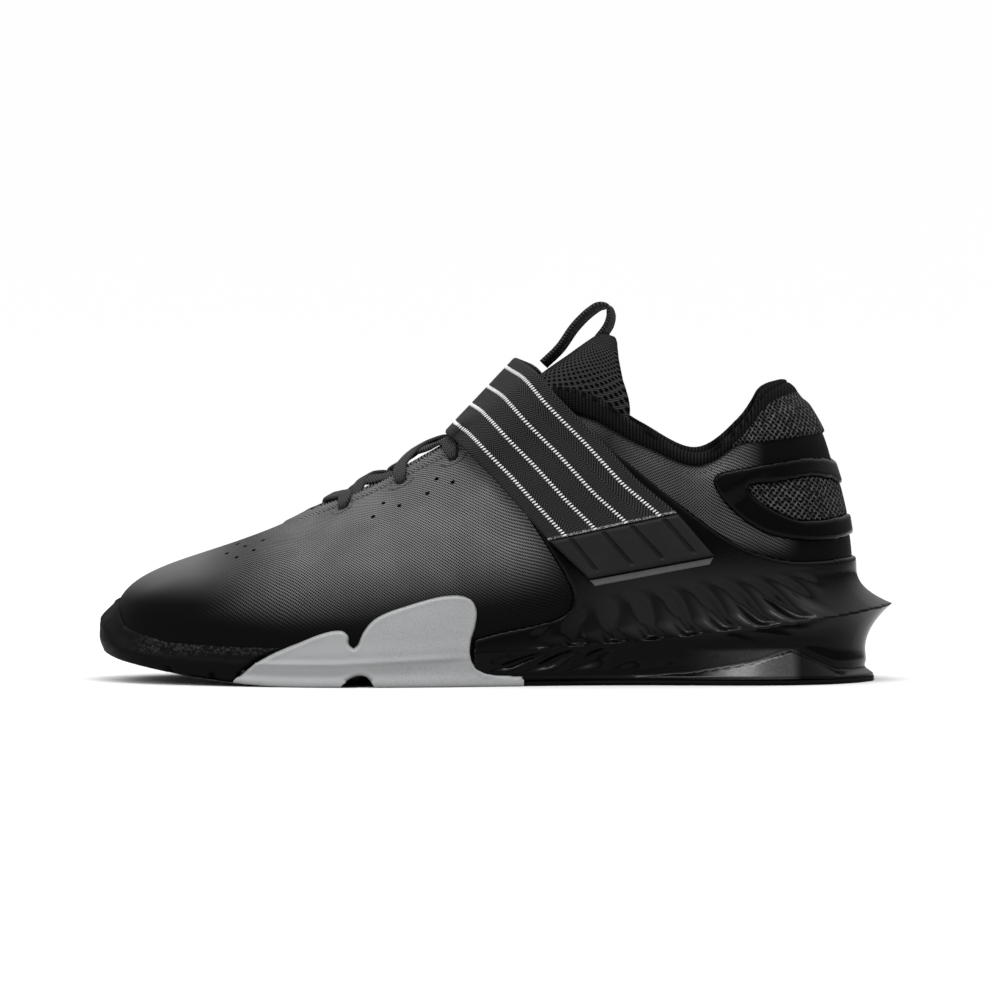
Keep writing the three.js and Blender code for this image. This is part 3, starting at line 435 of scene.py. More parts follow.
def lay(name, places, closed=False, uv=None, masks=None):
    """A grid primitive laid over places, an array of columns by rows of points in millimetres."""
    columns, rows = places.shape[:2]
    bpy.ops.object.select_all(action="DESELECT")
    bpy.ops.mesh.primitive_grid_add(x_subdivisions=columns - 1, y_subdivisions=rows - 1, size=2)
    piece = bpy.context.object
    piece.name = name
    mesh = piece.data
    square = np.zeros(len(mesh.vertices) * 3)
    mesh.vertices.foreach_get("co", square)
    square = square.reshape(-1, 3)
    i = np.rint((square[:, 0] + 1) / 2 * (columns - 1)).astype(int)
    j = np.rint((square[:, 1] + 1) / 2 * (rows - 1)).astype(int)
    mesh.vertices.foreach_set("co", (places[i, j] * mm).ravel())
    if uv is not None:
        corner = np.zeros(len(mesh.loops), int)
        mesh.loops.foreach_get("vertex_index", corner)
        mesh.uv_layers[0].data.foreach_set("uv", uv[i, j][corner].ravel())
    for key, values in (masks or {}).items():
        attribute = mesh.attributes.new(key, "FLOAT", "POINT")
        attribute.data.foreach_set("value", values[i, j].astype(np.float32))
    if closed:
        weld(piece)
    smooth_all(piece)
    return piece


def built(name, places, faces):
    """A mesh piece from places in millimetres and faces."""
    mesh = bpy.data.meshes.new(name)
    mesh.from_pydata((places * mm).tolist(), [], faces)
    piece = bpy.data.objects.new(name, mesh)
    bpy.context.scene.collection.objects.link(piece)
    return piece


def thicken(piece, thickness):
    """Gives a sheet a wall behind its face."""
    pick(piece)
    wall = piece.modifiers.new("wall", "SOLIDIFY")
    wall.thickness = thickness * mm
    wall.offset = -1
    bpy.ops.object.modifier_apply(modifier="wall")


def wear(piece, finish, node):
    """Gives a piece its finish, its body and the CAD node that it stands for, if any."""
    piece.data.materials.clear()
    piece.data.materials.append(finish.material)
    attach(piece, "root")
    if node:
        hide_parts(node)


def padding(around, up):
    rear = smooth((station_of(around) - collar_station + 0.4) / 1.4)
    return collar_pad * rear * smooth((up - 0.62) / 0.2)


# The wall of the upper: its face, the knitted roll round the ankle, and its lining
round_count = 460
ankle_low_x = 76
roll_high = 1.5
roll_end = 9.4
ankle_station = 6.9
foot_steps = np.diff(run_along(on_loop(wall_loops[0], fine)))
top_steps = np.diff(run_along(on_loop(wall_loops[3], fine)))
mean_run = np.r_[0, np.cumsum(foot_steps + top_steps + 0.01)]
around_grid = np.interp(np.linspace(0, 1, round_count + 1) * mean_run[-1], mean_run, fine)
around_grid[-1] = 1.0


def roll_scale(around):
    """The roll is thinnest at the low point beside the ankle."""
    x = skin(around, np.ones(np.shape(around)))[..., 0]
    return 1 + 0.75 * np.exp(-((x - ankle_low_x) / 22) ** 2)


def face_lift(around, up):
    """The face's own relief: the knitted roll with the seam below it, and the folded throat edge."""
    ankle = smooth((station_of(around) - ankle_station) / 0.5)
    below = roll_scale(around) * (1 - up) * 100
    roll = roll_high * np.sqrt(np.clip(1 - ((below - 4) / 4.4) ** 2, 0, 1)) * (below < 8.4)
    seam = -0.75 * np.exp(-((below - roll_end) / 0.9) ** 2)
    pad = 1.0 * smooth((up - 0.6) / 0.15) * (1 - smooth((up - 0.86) / 0.06))
    throat = (1 - ankle) * 0.55 * (smooth((up - 0.935) / 0.015) - 0.7 * smooth((up - 0.985) / 0.01))
    return ankle * (roll + seam + pad) + throat


ups = np.r_[np.linspace(0, 0.86, 44, endpoint=False), np.linspace(0.86, 1, 30)]
A, U = np.meshgrid(around_grid, ups, indexing="ij")
face = form(A, U, face_lift(A, U))
A2, U2 = np.meshgrid(around_grid, np.linspace(1, 0, 26), indexing="ij")
lining = form(A2, U2, -upper_wall - padding(A2, U2))
first, second = face[:, -1], lining[:, 0]
crown = (upper_wall + padding(around_grid, 1.0)) / 3 + 0.25
rim = []
for share in np.linspace(0, 1, 9)[1:-1]:
    arc = first * (1 + math.cos(math.pi * share)) / 2 + second * (1 - math.cos(math.pi * share)) / 2
    rim.append(arc + np.c_[0 * crown, 0 * crown, crown * math.sin(math.pi * share)])
shell = np.concatenate([face, np.stack(rim, 1), lining, face[:, :1]], 1)
length_over = np.linalg.norm(np.diff(face, axis=1), axis=2)
at_top = np.zeros((len(around_grid), 1))
from_top = np.concatenate([np.cumsum(length_over[:, ::-1], 1)[:, ::-1], at_top], 1)
across_face = from_top + np.abs(face[:, -1:, 1])
# Ahead of the throat the weave runs over the toes from side to side
centre = face[np.argmin(face[:, 0, 0])]
drop_down = np.interp(face[..., 0], centre[:, 0], centre[:, 2]) - face[..., 2]
aside = face[..., 1] - np.interp(face[..., 0], centre[:, 0], centre[:, 1])
behind_front = smooth((face[..., 0] - face[:, -1, 0].min() + 4) / 24)
across_face = blend(np.hypot(aside, drop_down) * 1.1, across_face, behind_front)
across_rest = np.repeat(across_face[:, -1:], shell.shape[1] - face.shape[1], 1)
upper_uv = np.stack([shell[..., 0], np.concatenate([across_face, across_rest], 1)], -1)
x, z = shell[..., 0], shell[..., 2]
low_band = 1 - smooth((z - np.interp(x, [-147, -80, -20, 60, 140], [30, 19, 15, 34, 46])) / 11)
toe_film = 1 - smooth((x + 118) / 26)
heel_film = smooth((x - 108) / 10) * (1 - smooth((z - 60) / 10))
heel_film = np.maximum(heel_film, smooth((x - 94) / 10) * smooth((z - 76) / 6))
film = np.clip(np.maximum.reduce([low_band, toe_film, heel_film]), 0, 1)
film[:, face.shape[1]:] = 0
knit = np.zeros(film.shape)
within_roll = smooth((roll_end - roll_scale(A) * (1 - U) * 100) / 0.8)
knit[:, :face.shape[1]] = smooth((station_of(A) - ankle_station) / 0.4) * within_roll
knit[:, face.shape[1]:] = smooth((station_of(around_grid) - ankle_station) / 0.4)[:, None]
# The yarn pales over the middle of each side and towards the ankle, and is black at the toe and below; a
# painted highlight lightens a spot just under the ankle roll.
pale = smooth((x + 122) / 55) * (1 - smooth((x + 8 - 0.3 * z) / 34))
pale *= smooth((z - 21 - 0.14 * (x + 60)) / 27)
pale *= 1 - 0.35 * smooth((z - 78) / 25)
ankle_pale_and_highlight = smooth((x - 30) / 30) * (1 - smooth((x - 112) / 14)) * smooth((z - 48) / 10)
# Painted highlight: the ankle yarn is made lighter in a spot under the roll, standing in for light that
# catches it there.
ankle_pale_and_highlight *= 1 + 1.2 * np.exp(-((x - 84) / 9) ** 2 - ((z - 84) / 6) ** 2)
yarn_and_highlight = np.clip(np.maximum(pale, 0.42 * ankle_pale_and_highlight), 0, 1)
upper = lay("woven_upper", shell, True, upper_uv, {"film": film, "knit": knit, "yarn_and_highlight": yarn_and_highlight})

# Lace holes punched through the wall
eyelets = np.array([[3.62, 3.22], [4.62, 4.5], [5.42, 5.36], [6.2, 6.2], [6.8, 6.8]])
eyelet_up = 0.9
eyelet_radius = 2.0
punches = []
for pair in eyelets:
    for side, station in zip((-1, 1), pair):
        at = float(around_at(side, station))
        where = form(at, eyelet_up, 0.0)
        facing = Vector(normal_at(at, np.float64(eyelet_up)))
        turned = facing.to_track_quat("Z", "Y").to_euler()
        bpy.ops.mesh.primitive_cylinder_add(vertices=28, radius=eyelet_radius * mm, depth=0.012,
                                            location=where * mm, rotation=turned)
        punches.append(bpy.context.object)
punch = joined(punches)
hole = upper.modifiers.new("holes", "BOOLEAN")
hole.operation = "DIFFERENCE"
hole.solver = "EXACT"
hole.object = punch
pick(upper)
bpy.ops.object.modifier_apply(modifier="holes")
bpy.data.objects.remove(punch)
bpy.ops.object.shade_smooth_by_angle(angle=math.radians(50))

weave = Finish("woven_textile", (0.02, 0.02, 0.021), 0.62, Specular_IOR_Level=0.02)
lengthwise, crosswise = weave.uv()
gaps_between = crossed(lengthwise, crosswise, 1.2)
film_mask = weave.mask("film")
knit_mask = weave.mask("knit")
yarn_and_highlight_mask = weave.mask("yarn_and_highlight")
open_weave = gaps_between.step(0.1, 0.34)
patches = weave.noise(60.0, 3.0).step(0.35, 0.7)
# This yarn tone holds the yarn's own paleness and also the painted highlight under the ankle roll.
yarn_and_highlight_amount = yarn_and_highlight_mask * (0.8 + 0.2 * patches)
yarn_and_highlight_shade = weave.shade(yarn_and_highlight_amount, (0.006, 0.006, 0.0063), (0.155, 0.155, 0.157))
hole_shade = weave.shade(yarn_and_highlight_mask, (0.0008, 0.0008, 0.0008), (0.004, 0.004, 0.004))
cloth_shade = weave.shade(open_weave, yarn_and_highlight_shade, hole_shade)
filmed = weave.shade(film_mask, cloth_shade, (0.0025, 0.0025, 0.0027))
ribs = (lengthwise * (1 / 1.3)).wave() * (crosswise * (1 / 0.9)).wave()
knitted = weave.shade(ribs, (0.0015, 0.0015, 0.0015), (0.014, 0.014, 0.0145))
weave.colour(knit_mask, filmed, knitted)
weave.feed("Roughness", 0.62 - film_mask * 0.2 + knit_mask * 0.3)
weave_x, _, weave_z = weave.parts(weave.place())
toe_sheen = weave_z.step(0.03, 0.045) * (1 - weave_z.step(0.055, 0.07))
toe_sheen = toe_sheen * (1 - weave_x.step(-0.1, -0.07))
weave.feed("Coat Weight", film_mask * toe_sheen * 0.9)
weave.shader.inputs["Coat Roughness"].default_value = 0.5
weave_relief = (1 - open_weave) * (1 - film_mask) * (1 - knit_mask)
weave.bump(weave_relief + ribs * knit_mask + weave.noise(900.0) * 0.25, 0.00018)
wear(upper, weave, "upper")

# The heel part is one glossy moulding of hard black plastic. Its folds run up from a sharp ridge that
# flares to a point behind; a waist and a foot lie below, and a thin wing rises under the strap.
# It is clipped round the upper from below.
gap = 0.3
heel_reach = 15.5
ridge_height = 29.8
cage_wall = 1.5
sole_tread = 2.0
heel_front = 0.486
# Each row: station, ridge out, ridge high, waist out, waist high, foot out, foot high, rim high
heel_rows = np.array([
    [5, 0.17, 0.42, 0.14, 0.16, 0.13, 0.1, 0.72],
    [6, 0.2, 0.44, 0.14, 0.16, 0.14, 0.1, 0.8],
    [7, 0.24, 0.5, 0.14, 0.17, 0.16, 0.1, 1.0],
    [8, 0.3, 0.54, 0.14, 0.18, 0.2, 0.1, 1.2],
    [8.6, 0.336, 0.57, 0.14, 0.19, 0.236, 0.11, 1.26],
    [9.6, 0.4, 0.63, 0.146, 0.28, 0.34, 0.15, 1.35],
    [10.8, 0.51, 0.74, 0.18, 0.42, 0.49, 0.27, 1.43],
    [11.5, 0.61, 0.815, 0.22, 0.5, 0.57, 0.42, 1.46],
    [12, 0.7, 0.87, 0.25, 0.5, 0.58, 0.26, 1.48],
    [12.4, 0.77, 0.905, 0.27, 0.47, 0.57, 0.16, 1.484],
    [13, 0.88, 0.96, 0.31, 0.44, 0.58, 0.15, 1.49],
    [14, 1.0, 1.0, 0.335, 0.42, 0.61, 0.154, 1.49],
])


def row_values(rows, place):
    return [np.interp(place, rows[:, 0], rows[:, k]) for k in range(1, rows.shape[1])]


def traced(points, spacing=0.7, soft=True):
    """Evenly spaced places along an outline given as shares of length and collar height."""
    points = np.asarray(points, float)
    points = np.c_[length_at(points[:, 0]), height_at(points[:, 1]), 0 * points[:, 0]]
    if soft and len(points) > 2:
        line = through(points)(np.linspace(0, 1, 60 * len(points)))
    else:
        line = points
    distance = run_along(line)
    count = max(2, int(distance[-1] / spacing) + 1)
    at = np.linspace(0, distance[-1], count)
    return np.c_[np.interp(at, distance, line[:, 0]), np.interp(at, distance, line[:, 1])]


def on_side(side, line):
    """A line seen from the side, as distances along the upper's foot and heights."""
    station = station_at(side, line[:, 0], line[:, 1])
    return np.c_[run_at(around_at(side, station)), line[:, 1]]


def round_back(line, first_high, last_high):
    """A ring on both sides that meets itself behind the heel, from a line on one side."""
    middle = foot_length / 2
    near = on_side(-1, line)
    far = on_side(1, line)
    near = near[near[:, 0] < middle - 0.5]
    far = far[far[:, 0] > middle + 0.5]
    halves = []
    for end, path in ((middle, near), (middle, far)):
        first = np.linspace(end, path[0, 0], max(2, int(abs(end - path[0, 0]) / 0.7)))[:-1]
        last = np.linspace(path[-1, 0], end, max(2, int(abs(end - path[-1, 0]) / 0.7)))[1:]
        start = np.c_[first, blend(first_high, path[0, 1], smooth(np.linspace(0, 1, len(first))))]
        close = np.c_[last, blend(path[-1, 1], last_high, smooth(np.linspace(0, 1, len(last))))]
        halves.append(np.vstack([start, path, close]))
    return np.vstack([halves[0], halves[1][::-1][1:-1]])


def inside(ring, points):
    result = np.zeros(len(points), bool)
    ahead = np.roll(ring, -1, 0)
    for (x0, y0), (x1, y1) in zip(ring, ahead):
        if y0 == y1:
            continue
        crosses = (y0 > points[:, 1]) != (y1 > points[:, 1])
        where = x0 + (points[:, 1] - y0) * (x1 - x0) / (y1 - y0)
        result ^= crosses & (points[:, 0] < where)
    return result


def nearest(line, points):
    tree = KDTree(len(line))
    for k, (a, b) in enumerate(line):
        tree.insert((a, b, 0), k)
    tree.balance()
    return np.array([tree.find((a, b, 0))[2] for a, b in points])


def cut_panel(name, ring, placing, lines=(), holes=(), spacing=0.8, wall=1.0):
    """A thin moulding cut to a ring: placing turns distance, height and depth from the edge to places."""
    corners, edges = [], []
    for path, closes in [(ring, True)] + [(hole, True) for hole in holes] + [(line, False) for line in lines]:
        start = sum(len(part) for part in corners)
        corners.append(path)
        count = len(path)
        edges += [(start + k, start + (k + 1) % count) for k in range(count if closes else count - 1)]
    fixed = np.vstack(corners)
    low, tall = ring.min(0), ring.max(0)
    a = np.arange(low[0], tall[0], spacing)
    b = np.arange(low[1], tall[1], spacing * 0.87)
    grid_a, grid_b = np.meshgrid(a, b, indexing="ij")
    grid_a = grid_a + (np.arange(len(b)) % 2) * spacing / 2
    points = np.c_[grid_a.ravel(), grid_b.ravel()]
    within = inside(ring, points)
    for hole in holes:
        within &= ~inside(hole, points)
    points = points[within]
    points = points[nearest(fixed, points) > spacing * 0.45]
    every = np.vstack([fixed, points])
    verts, _, faces, *_ = delaunay_2d_cdt([Vector(p) for p in every], edges, [], 0, 1e-5)
    flat = np.array([tuple(v) for v in verts])
    faces = np.array([tuple(f) for f in faces if len(f) == 3])
    middles = flat[faces].mean(1)
    kept = inside(ring, middles)
    for hole in holes:
        kept &= ~inside(hole, middles)
    faces = faces[kept]
    used = np.unique(faces)
    renumber = np.full(len(flat), -1)
    renumber[used] = np.arange(len(used))
    faces = renumber[faces]
    flat = flat[used]
    rings = np.vstack([ring] + list(holes))
    depth = nearest(rings, flat)
    places = placing(flat[:, 0], flat[:, 1], depth)
    piece = built(name, places, faces.tolist())
    mesh = piece.data
    layer = mesh.uv_layers.new(name="UVMap")
    corner = np.zeros(len(mesh.loops), int)
    mesh.loops.foreach_get("vertex_index", corner)
    layer.data.foreach_set("uv", flat[corner].ravel())
    facing = np.cross(places[faces[:, 1]] - places[faces[:, 0]], places[faces[:, 2]] - places[faces[:, 0]])
    past = places[faces].mean(1)
    if (facing * np.c_[past[:, 0] * 0.2, past[:, 1], 0 * past[:, 0]]).sum() < 0:
        mesh.flip_normals()
    smooth_all(piece)
    thicken(piece, wall)
    return piece


def rounded(depth, radius):
    """The height of a rounded edge, from 0 at the edge to 1."""
    return np.sqrt(np.clip(1 - (1 - np.clip(depth / radius, 0, 1)) ** 2, 0, 1))


def beside_foot(around, out, height):
    foot = skin(around, np.zeros(np.shape(around)))
    place = foot + foot_normal(around) * np.asarray(out)[..., None]
    place[..., 2] = height
    return place


fold_depth = 2.6
lower_fold_depth = 1.9


def fold_share(x, share, start, pitch, far_start, far_pitch):
    begin = length_at(blend(start, far_start, share))
    return (x - begin) / (blend(pitch, far_pitch, share) * last_length)


def pleated(count, sharp):
    """Rounded folds, one for each whole number that the count passes."""
    return (0.5 - 0.5 * np.cos(2 * np.pi * count)) ** sharp


def heel_place(distance, height, depth):
    around = around_of(distance)
    ridge, ridge_high, waist, waist_high, low, low_high, rim_high = row_values(heel_rows, station_of(around))
    ridge_z, waist_z, low_z = ridge_high * ridge_height, waist_high * ridge_height, low_high * ridge_height
    foot = skin(around, np.zeros(len(around)))
    sideways = foot_normal(around)
    rim = form(around, up_at(around, rim_high * ridge_height), cage_wall)
    rim_out = ((rim - foot) * sideways).sum(1)
    rim_z = rim[:, 2]
    ridge_x = beside_foot(around, ridge * heel_reach, ridge_z)[:, 0]
    part = (ridge_x - last_toe) / last_length
    # Above the ridge: pleats that lean back and turn in an S
    share = np.clip((height - ridge_z) / (rim_z - ridge_z), 0, 1)
    count = fold_share(ridge_x, share, 0.6526, 0.0523, 0.6372, 0.0382) + 0.06 * np.sin(2 * np.pi * share)
    pleat = pleated(count, 1.5)
    fade = smooth((part - 0.55) / 0.06) * (1 - smooth((part - 0.9) / 0.09))
    swell = smooth(share / 0.09) * (1 - smooth((share - 0.45) / 0.55))
    above = blend(rim_out, ridge * heel_reach, (1 - share) ** 2.6) - fold_depth * fade * swell * pleat
    above += 0.5 * fade * swell * (1 - pleat) * smooth((0.35 - share) / 0.2)
    wall = form(around, up_at(around, height), gap + 0.75)
    above = np.maximum(above, ((wall - foot) * sideways).sum(1))
    # Between ridge and waist: a hollow with broad soft folds
    drop = np.clip((ridge_z - height) / (ridge_z - waist_z), 0, 1)
    count = fold_share(ridge_x, drop, 0.658, 0.038, 0.584, 0.065) + 0.1 * np.sin(2 * np.pi * drop)
    broad = pleated(count, 1.2)
    fade = smooth((part - 0.5) / 0.04) * (1 - 0.75 * smooth((part - 0.66) / 0.08))
    fade = fade * (1 - smooth((part - 0.88) / 0.08))
    under = blend(waist * heel_reach, ridge * heel_reach, (1 - drop) ** 1.9)
    under -= lower_fold_depth * fade * smooth(drop / 0.3) * (1 - smooth((drop - 0.6) / 0.4)) * broad
    # The foot: a plain bevel that faces up and out to a sharp edge, and a step into the hollow above it
    edge_out = blend(low, waist, 0.85)
    bevel = np.clip((height - sole_tread) / np.maximum(low_z - sole_tread, 0.5), 0, 1)
    sole = blend(low, edge_out, bevel) * heel_reach
    sole -= 0.9 * (1 - smooth((height - sole_tread) / 0.8))
    base = blend(edge_out, waist, smooth((height - low_z) / np.maximum(waist_z - low_z, 0.5))) * heel_reach
    base -= 0.8 * smooth((height - low_z) / 0.8) * (1 - smooth((height - low_z - 1) / 3))
    out = np.select([height > ridge_z, height > waist_z, height > low_z], [above, under, base], sole)
    result = foot + sideways * out[:, None]
    result[:, 2] = height
    wing = height >= rim_z
    top = form(around, up_at(around, height), cage_wall)
    soft = 1.1 * (1 - rounded(depth, 1.5))[:, None] * (height > 14)[:, None]
    result[wing] = top[wing]
    toward = np.where(wing[:, None], normal_at(around, up_at(around, height)), sideways)
    return result - toward * soft


heel_side = [
    [0.97, 0.02], [0.8, 0.02], [0.6, 0.02], [heel_front, 0.02],
]
wing_front = [
    [heel_front, 0.02], [0.4865, 0.075], [0.4855, 0.11], [0.4865, 0.157],
]
wing_edge = [
    [0.4865, 0.157], [0.523, 0.18], [0.577, 0.207], [0.598, 0.223], [0.612, 0.243], [0.619, 0.273],
    [0.62, 0.303], [0.611, 0.356], [0.593, 0.43], [0.574, 0.503], [0.555, 0.576], [0.539, 0.636],
    [0.532, 0.69], [0.54, 0.743], [0.56, 0.79], [0.604, 0.81], [0.645, 0.805], [0.668, 0.785],
    [0.712, 0.706], [0.753, 0.623], [0.794, 0.545], [0.841, 0.468], [0.875, 0.433], [0.909, 0.413],
    [0.943, 0.408], [0.985, 0.414],
]
heel_line = np.vstack([traced(heel_side, soft=False), traced(wing_front)[1:], traced(wing_edge)[1:]])
heel_ring = round_back(heel_line, height_at(0.02), height_at(0.416))
heel_run = np.arange(run_at(around_at(-1, 6.1)), run_at(around_at(1, 6.1)), 0.7)
heel_values = row_values(heel_rows, station_of(around_of(heel_run)))
ridge_line = np.c_[heel_run, heel_values[1] * ridge_height]
foot_line = np.c_[heel_run, heel_values[5] * ridge_height]
heel_lines = []
for line in (ridge_line, foot_line):
    line = line[inside(heel_ring, line)]
    line = line[nearest(heel_ring, line) > 0.6]
    heel_lines.append(line)
heel_unit = cut_panel("heel_moulding", heel_ring, heel_place, heel_lines, wall=0.7)
gloss = Finish("glossy_black_plastic", (0.001, 0.001, 0.0011), 0.18, Specular_IOR_Level=0.07)
gloss.feed("Roughness", 0.13 + gloss.noise(120.0, 3.0) * 0.1)
gloss_x, _, gloss_z = gloss.parts(gloss.place())
facet = gloss_x.step(0.07, 0.108) * (1 - gloss_x.step(0.1135, 0.118)) * (1 - gloss_z.step(0.0125, 0.0145))
satin = gloss.noise(900.0, 4.0).step(0.2, 0.8) * 0.35 + 0.65
folds = gloss_z.step(0.017, 0.024) * (1 - gloss_z.step(0.04, 0.052))
folds = folds * gloss_x.step(0.02, 0.05) * (1 - gloss_x.step(0.118, 0.135))
gloss.feed("Coat Weight", facet * satin + folds * 0.2)
gloss.shader.inputs["Coat Roughness"].default_value = 0.3
gloss.bump(gloss.noise(700.0, 2.0), 0.00004)
wear(heel_unit, gloss, "heel_unit")

# The toe part of the outsole is a black rubber bumper moulded round the toe. It stands proud of the
# upper, thins along both sides and is cemented to them; two flex grooves cross its tread.
toe_spring = 9.2
spring_start = 0.255
bumper_reach = 6
bumper_height = 31
flex_grooves = (-124.2, -108.0)
groove_depth = 1.8
# Each row: station, edge, shoulder, belly, belly high, rim, rim high
bumper_rows = np.array([
    [0, 0.17, 0.75, 1.0, 0.56, 0.8, 1.0],
    [0.5, 0.17, 0.72, 0.97, 0.53, 0.76, 0.9],
    [1, 0.17, 0.66, 0.86, 0.47, 0.66, 0.68],
    [2, 0.17, 0.44, 0.58, 0.36, 0.44, 0.5],
    [3, 0.14, 0.37, 0.5, 0.31, 0.4, 0.46],
    [4, 0.14, 0.37, 0.5, 0.29, 0.4, 0.455],
])


def floor_at(x):
    start = length_at(spring_start)
    return toe_spring * np.clip((start - x) / (start - last_toe), 0, 1) ** 1.8


def swelling(share, start, end):
    """Rounds a rise outwards and leaves a fall straight."""
    return np.where(end > start, np.sin(share * np.pi / 2), share)


def stepped(height, knots, outs, eased):
    """How far out a profile stands at each height, from knot to knot."""
    out = np.zeros(len(height)) + outs[0]
    for (z0, z1), (o0, o1) in zip(zip(knots, knots[1:]), zip(outs, outs[1:])):
        share = np.clip((height - z0) / np.maximum(z1 - z0, 0.01), 0, 1)
        out = np.where(height >= z0, blend(o0, o1, eased(share, o0, o1)), out)
    return out


def tread_floor(around):
    """The height of the forefoot's tread, a hair above the lowest line."""
    return floor_at(skin(around, 0 * around)[:, 0]) + 0.05


def bumper_profile(around, height):
    edge, shoulder, belly, belly_high, rim_out, rim_high = row_values(bumper_rows, station_of(around))
    floor = floor_at(skin(around, 0 * around)[:, 0])
    belly_z, rim_z = belly_high * bumper_height, rim_high * bumper_height
    shoulder_z = floor + 0.35 * (belly_z - floor)
    knots = [floor, shoulder_z, belly_z, blend(belly_z, rim_z, 0.6), rim_z]
    outs = [edge, shoulder, belly, blend(belly, rim_out, 0.35), rim_out]
    return stepped(height, knots, outs, swelling) * bumper_reach, floor


def bumper_place(distance, height, depth):
    around = around_of(distance)
    out, floor = bumper_profile(around, height)
    x = skin(around, 0 * around)[:, 0]
    for groove in flex_grooves:
        out = out - groove_depth * (np.abs(x - groove) < 0.9) * (height < floor + 2.8)
    for rib in (1.4, 3.0):
        out = out + 0.12 * np.exp(-((height - floor - 9 - rib * 2) / 0.6) ** 2)
    above = (height > floor + 3) * (1 - rounded(depth, 1.6))
    wall = form(around, up_at(around, height), 0.15)
    foot = skin(around, 0 * around)
    sideways = foot_normal(around)
    bare = ((wall - foot) * sideways).sum(1)
    rim_z_here = row_values(bumper_rows, station_of(around))[5] * bumper_height
    close = smooth((height - rim_z_here + 8) / 8) * (height > foot[:, 2])
    out = blend(out, np.maximum(bare + 1.0, 0), close)
    place = beside_foot(around, out - 2.2 * above, height)
    mine = ((place - foot) * sideways).sum(1)
    lacking = np.where(height > foot[:, 2] + 1, np.maximum(bare - mine, 0), 0)
    return place + sideways * lacking[:, None]


rim_run = np.linspace(0, run_at(around_at(-1, 3.9)), 400)
rim_station = station_of(around_of(rim_run))
rim_z = row_values(bumper_rows, rim_station)[5] * bumper_height + 0.8
cut = traced([[0.163, 0.0], [0.163, 0.014], [0.174, 0.045], [0.191, 0.079], [0.214, 0.112],
              [0.232, 0.132], [0.252, 0.15], [0.28, 0.22]])


def bumper_half(side):
    line = on_side(side, cut)
    distance = line[:, 0] if side < 0 else foot_length - line[:, 0]
    top_here = np.interp(distance, rim_run, rim_z)
    line = np.c_[distance, line[:, 1]][line[:, 1] < top_here]
    floor_run = np.arange(0, line[0, 0], 0.7)
    floor_z = floor_at(skin(around_of(floor_run), 0 * floor_run)[:, 0]) + 0.02
    line = line[line[:, 1] > floor_z[-1] + 0.3]
    back = np.arange(line[-1, 0] - 0.5, 0, -0.7)
    half_ring = np.vstack([np.c_[floor_run, floor_z], line, np.c_[back, np.interp(back, rim_run, rim_z)]])
    half_ring[:, 0] *= -side
    return half_ring


near_half, far_half = bumper_half(-1), bumper_half(1)
toe_ring = np.vstack([near_half, far_half[::-1][:-1]])
bumper = cut_panel("toe_bumper", toe_ring, bumper_place, wall=0.9)
# The underside of the toe closes the bumper below
ring_count = 90
toe_stations = np.linspace(0.02, 3.05, ring_count)


def under_sheet(name, station_list, reach_of, floor_of, across=24):
    """A sheet under the foot: reach_of gives how far past the foot it goes, floor_of its height."""
    rows = []
    for station in station_list:
        ends = []
        for side in (-1, 1):
            around = np.array([float(around_at(side, station))])
            out, level = reach_of(around, side), floor_of(around)
            ends.append(beside_foot(around, out, level)[0])
        share = np.linspace(0, 1, across)[:, None]
        rows.append(ends[0] * (1 - share) + ends[1] * share)
    return lay(name, np.array(rows))


toe_under = under_sheet("toe_tread", toe_stations[toe_stations < 2.45],
                        lambda around, side: 0.12 * bumper_reach + 0 * around, tread_floor)
joined([bumper, toe_under])
rubber = Finish("black_rubber", (0.006, 0.006, 0.0065), 0.6, Specular_IOR_Level=0.03)
rubber_x, _, rubber_z = rubber.parts(rubber.place())
grain = rubber.cells(1400.0)
band = rubber_z.step(0.011, 0.0135) * (1 - rubber_z.step(0.0175, 0.019)) * rubber_x.step(-0.142, -0.13)
rubber.colour(band * rubber.noise(900.0).step(0.45, 0.65), (0.003, 0.003, 0.0032), (0.02, 0.02, 0.0205))
rubber.feed("Roughness", 0.45 + rubber.noise(200.0) * 0.25)
rubber.bump(grain * band + rubber.noise(1500.0) * 0.15, 0.00025)
wear(bumper, rubber, "outsole_toe")

# The forefoot part of the sole is a pale grey moulded cup cemented between the bumper and the heel.
# Its fins rise over the upper on both sides; a crease runs along it above a soft hollow.
side_reach = 3.2
# Each row: station, lip, hollow, crease, crease high
cup_rows = np.array([
    [2, 0.7, 0.5, 0.9, 0.85], [3, 0.8, 0.5, 1.0, 0.88], [4, 0.8, 0.5, 1.0, 0.9],
    [5, 0.85, 0.55, 0.95, 1.1], [6, 0.9, 0.75, 0.8, 1.25],
])


def cup_place(distance, height, depth):
    around = around_of(distance)
    lip, hollow, crease, crease_high = row_values(cup_rows, station_of(around))
    foot = skin(around, 0 * around)
    floor = floor_at(foot[:, 0])
    crease_z = crease_high * ball_bed
    strong = 1 - smooth((foot[:, 0] + 25) / 22)
    knots = [floor, floor + 0.5, floor + 1.5, blend(floor + 1.5, crease_z, 0.5), crease_z - 0.4,
             crease_z + 0.5, crease_z + 3.5, crease_z + 9]
    outs = [lip - 0.2, lip, lip + 0.03, hollow, blend(0.75, crease - 0.28, strong),
            blend(0.75, crease + 0.04, strong), 0.72 + 0 * lip, 0.5 + 0 * lip]
    out = stepped(height, knots, outs, lambda share, start, end: smooth(share)) * side_reach
    out = out - (out * 0.8) * (1 - rounded(depth, 1.5)) * (height > floor + 2.5)
    rim_bead = 0.35 * np.exp(-((depth - 1.3) / 0.8) ** 2) * (height > floor + 4)
    out = out + rim_bead
    low = beside_foot(around, out, height)
    up = up_at(around, height)
    high = form(around, up, np.maximum(out, 0.1))
    share = smooth((height - foot[:, 2] + 1) / 5)[:, None]
    return low * (1 - share) + high * share


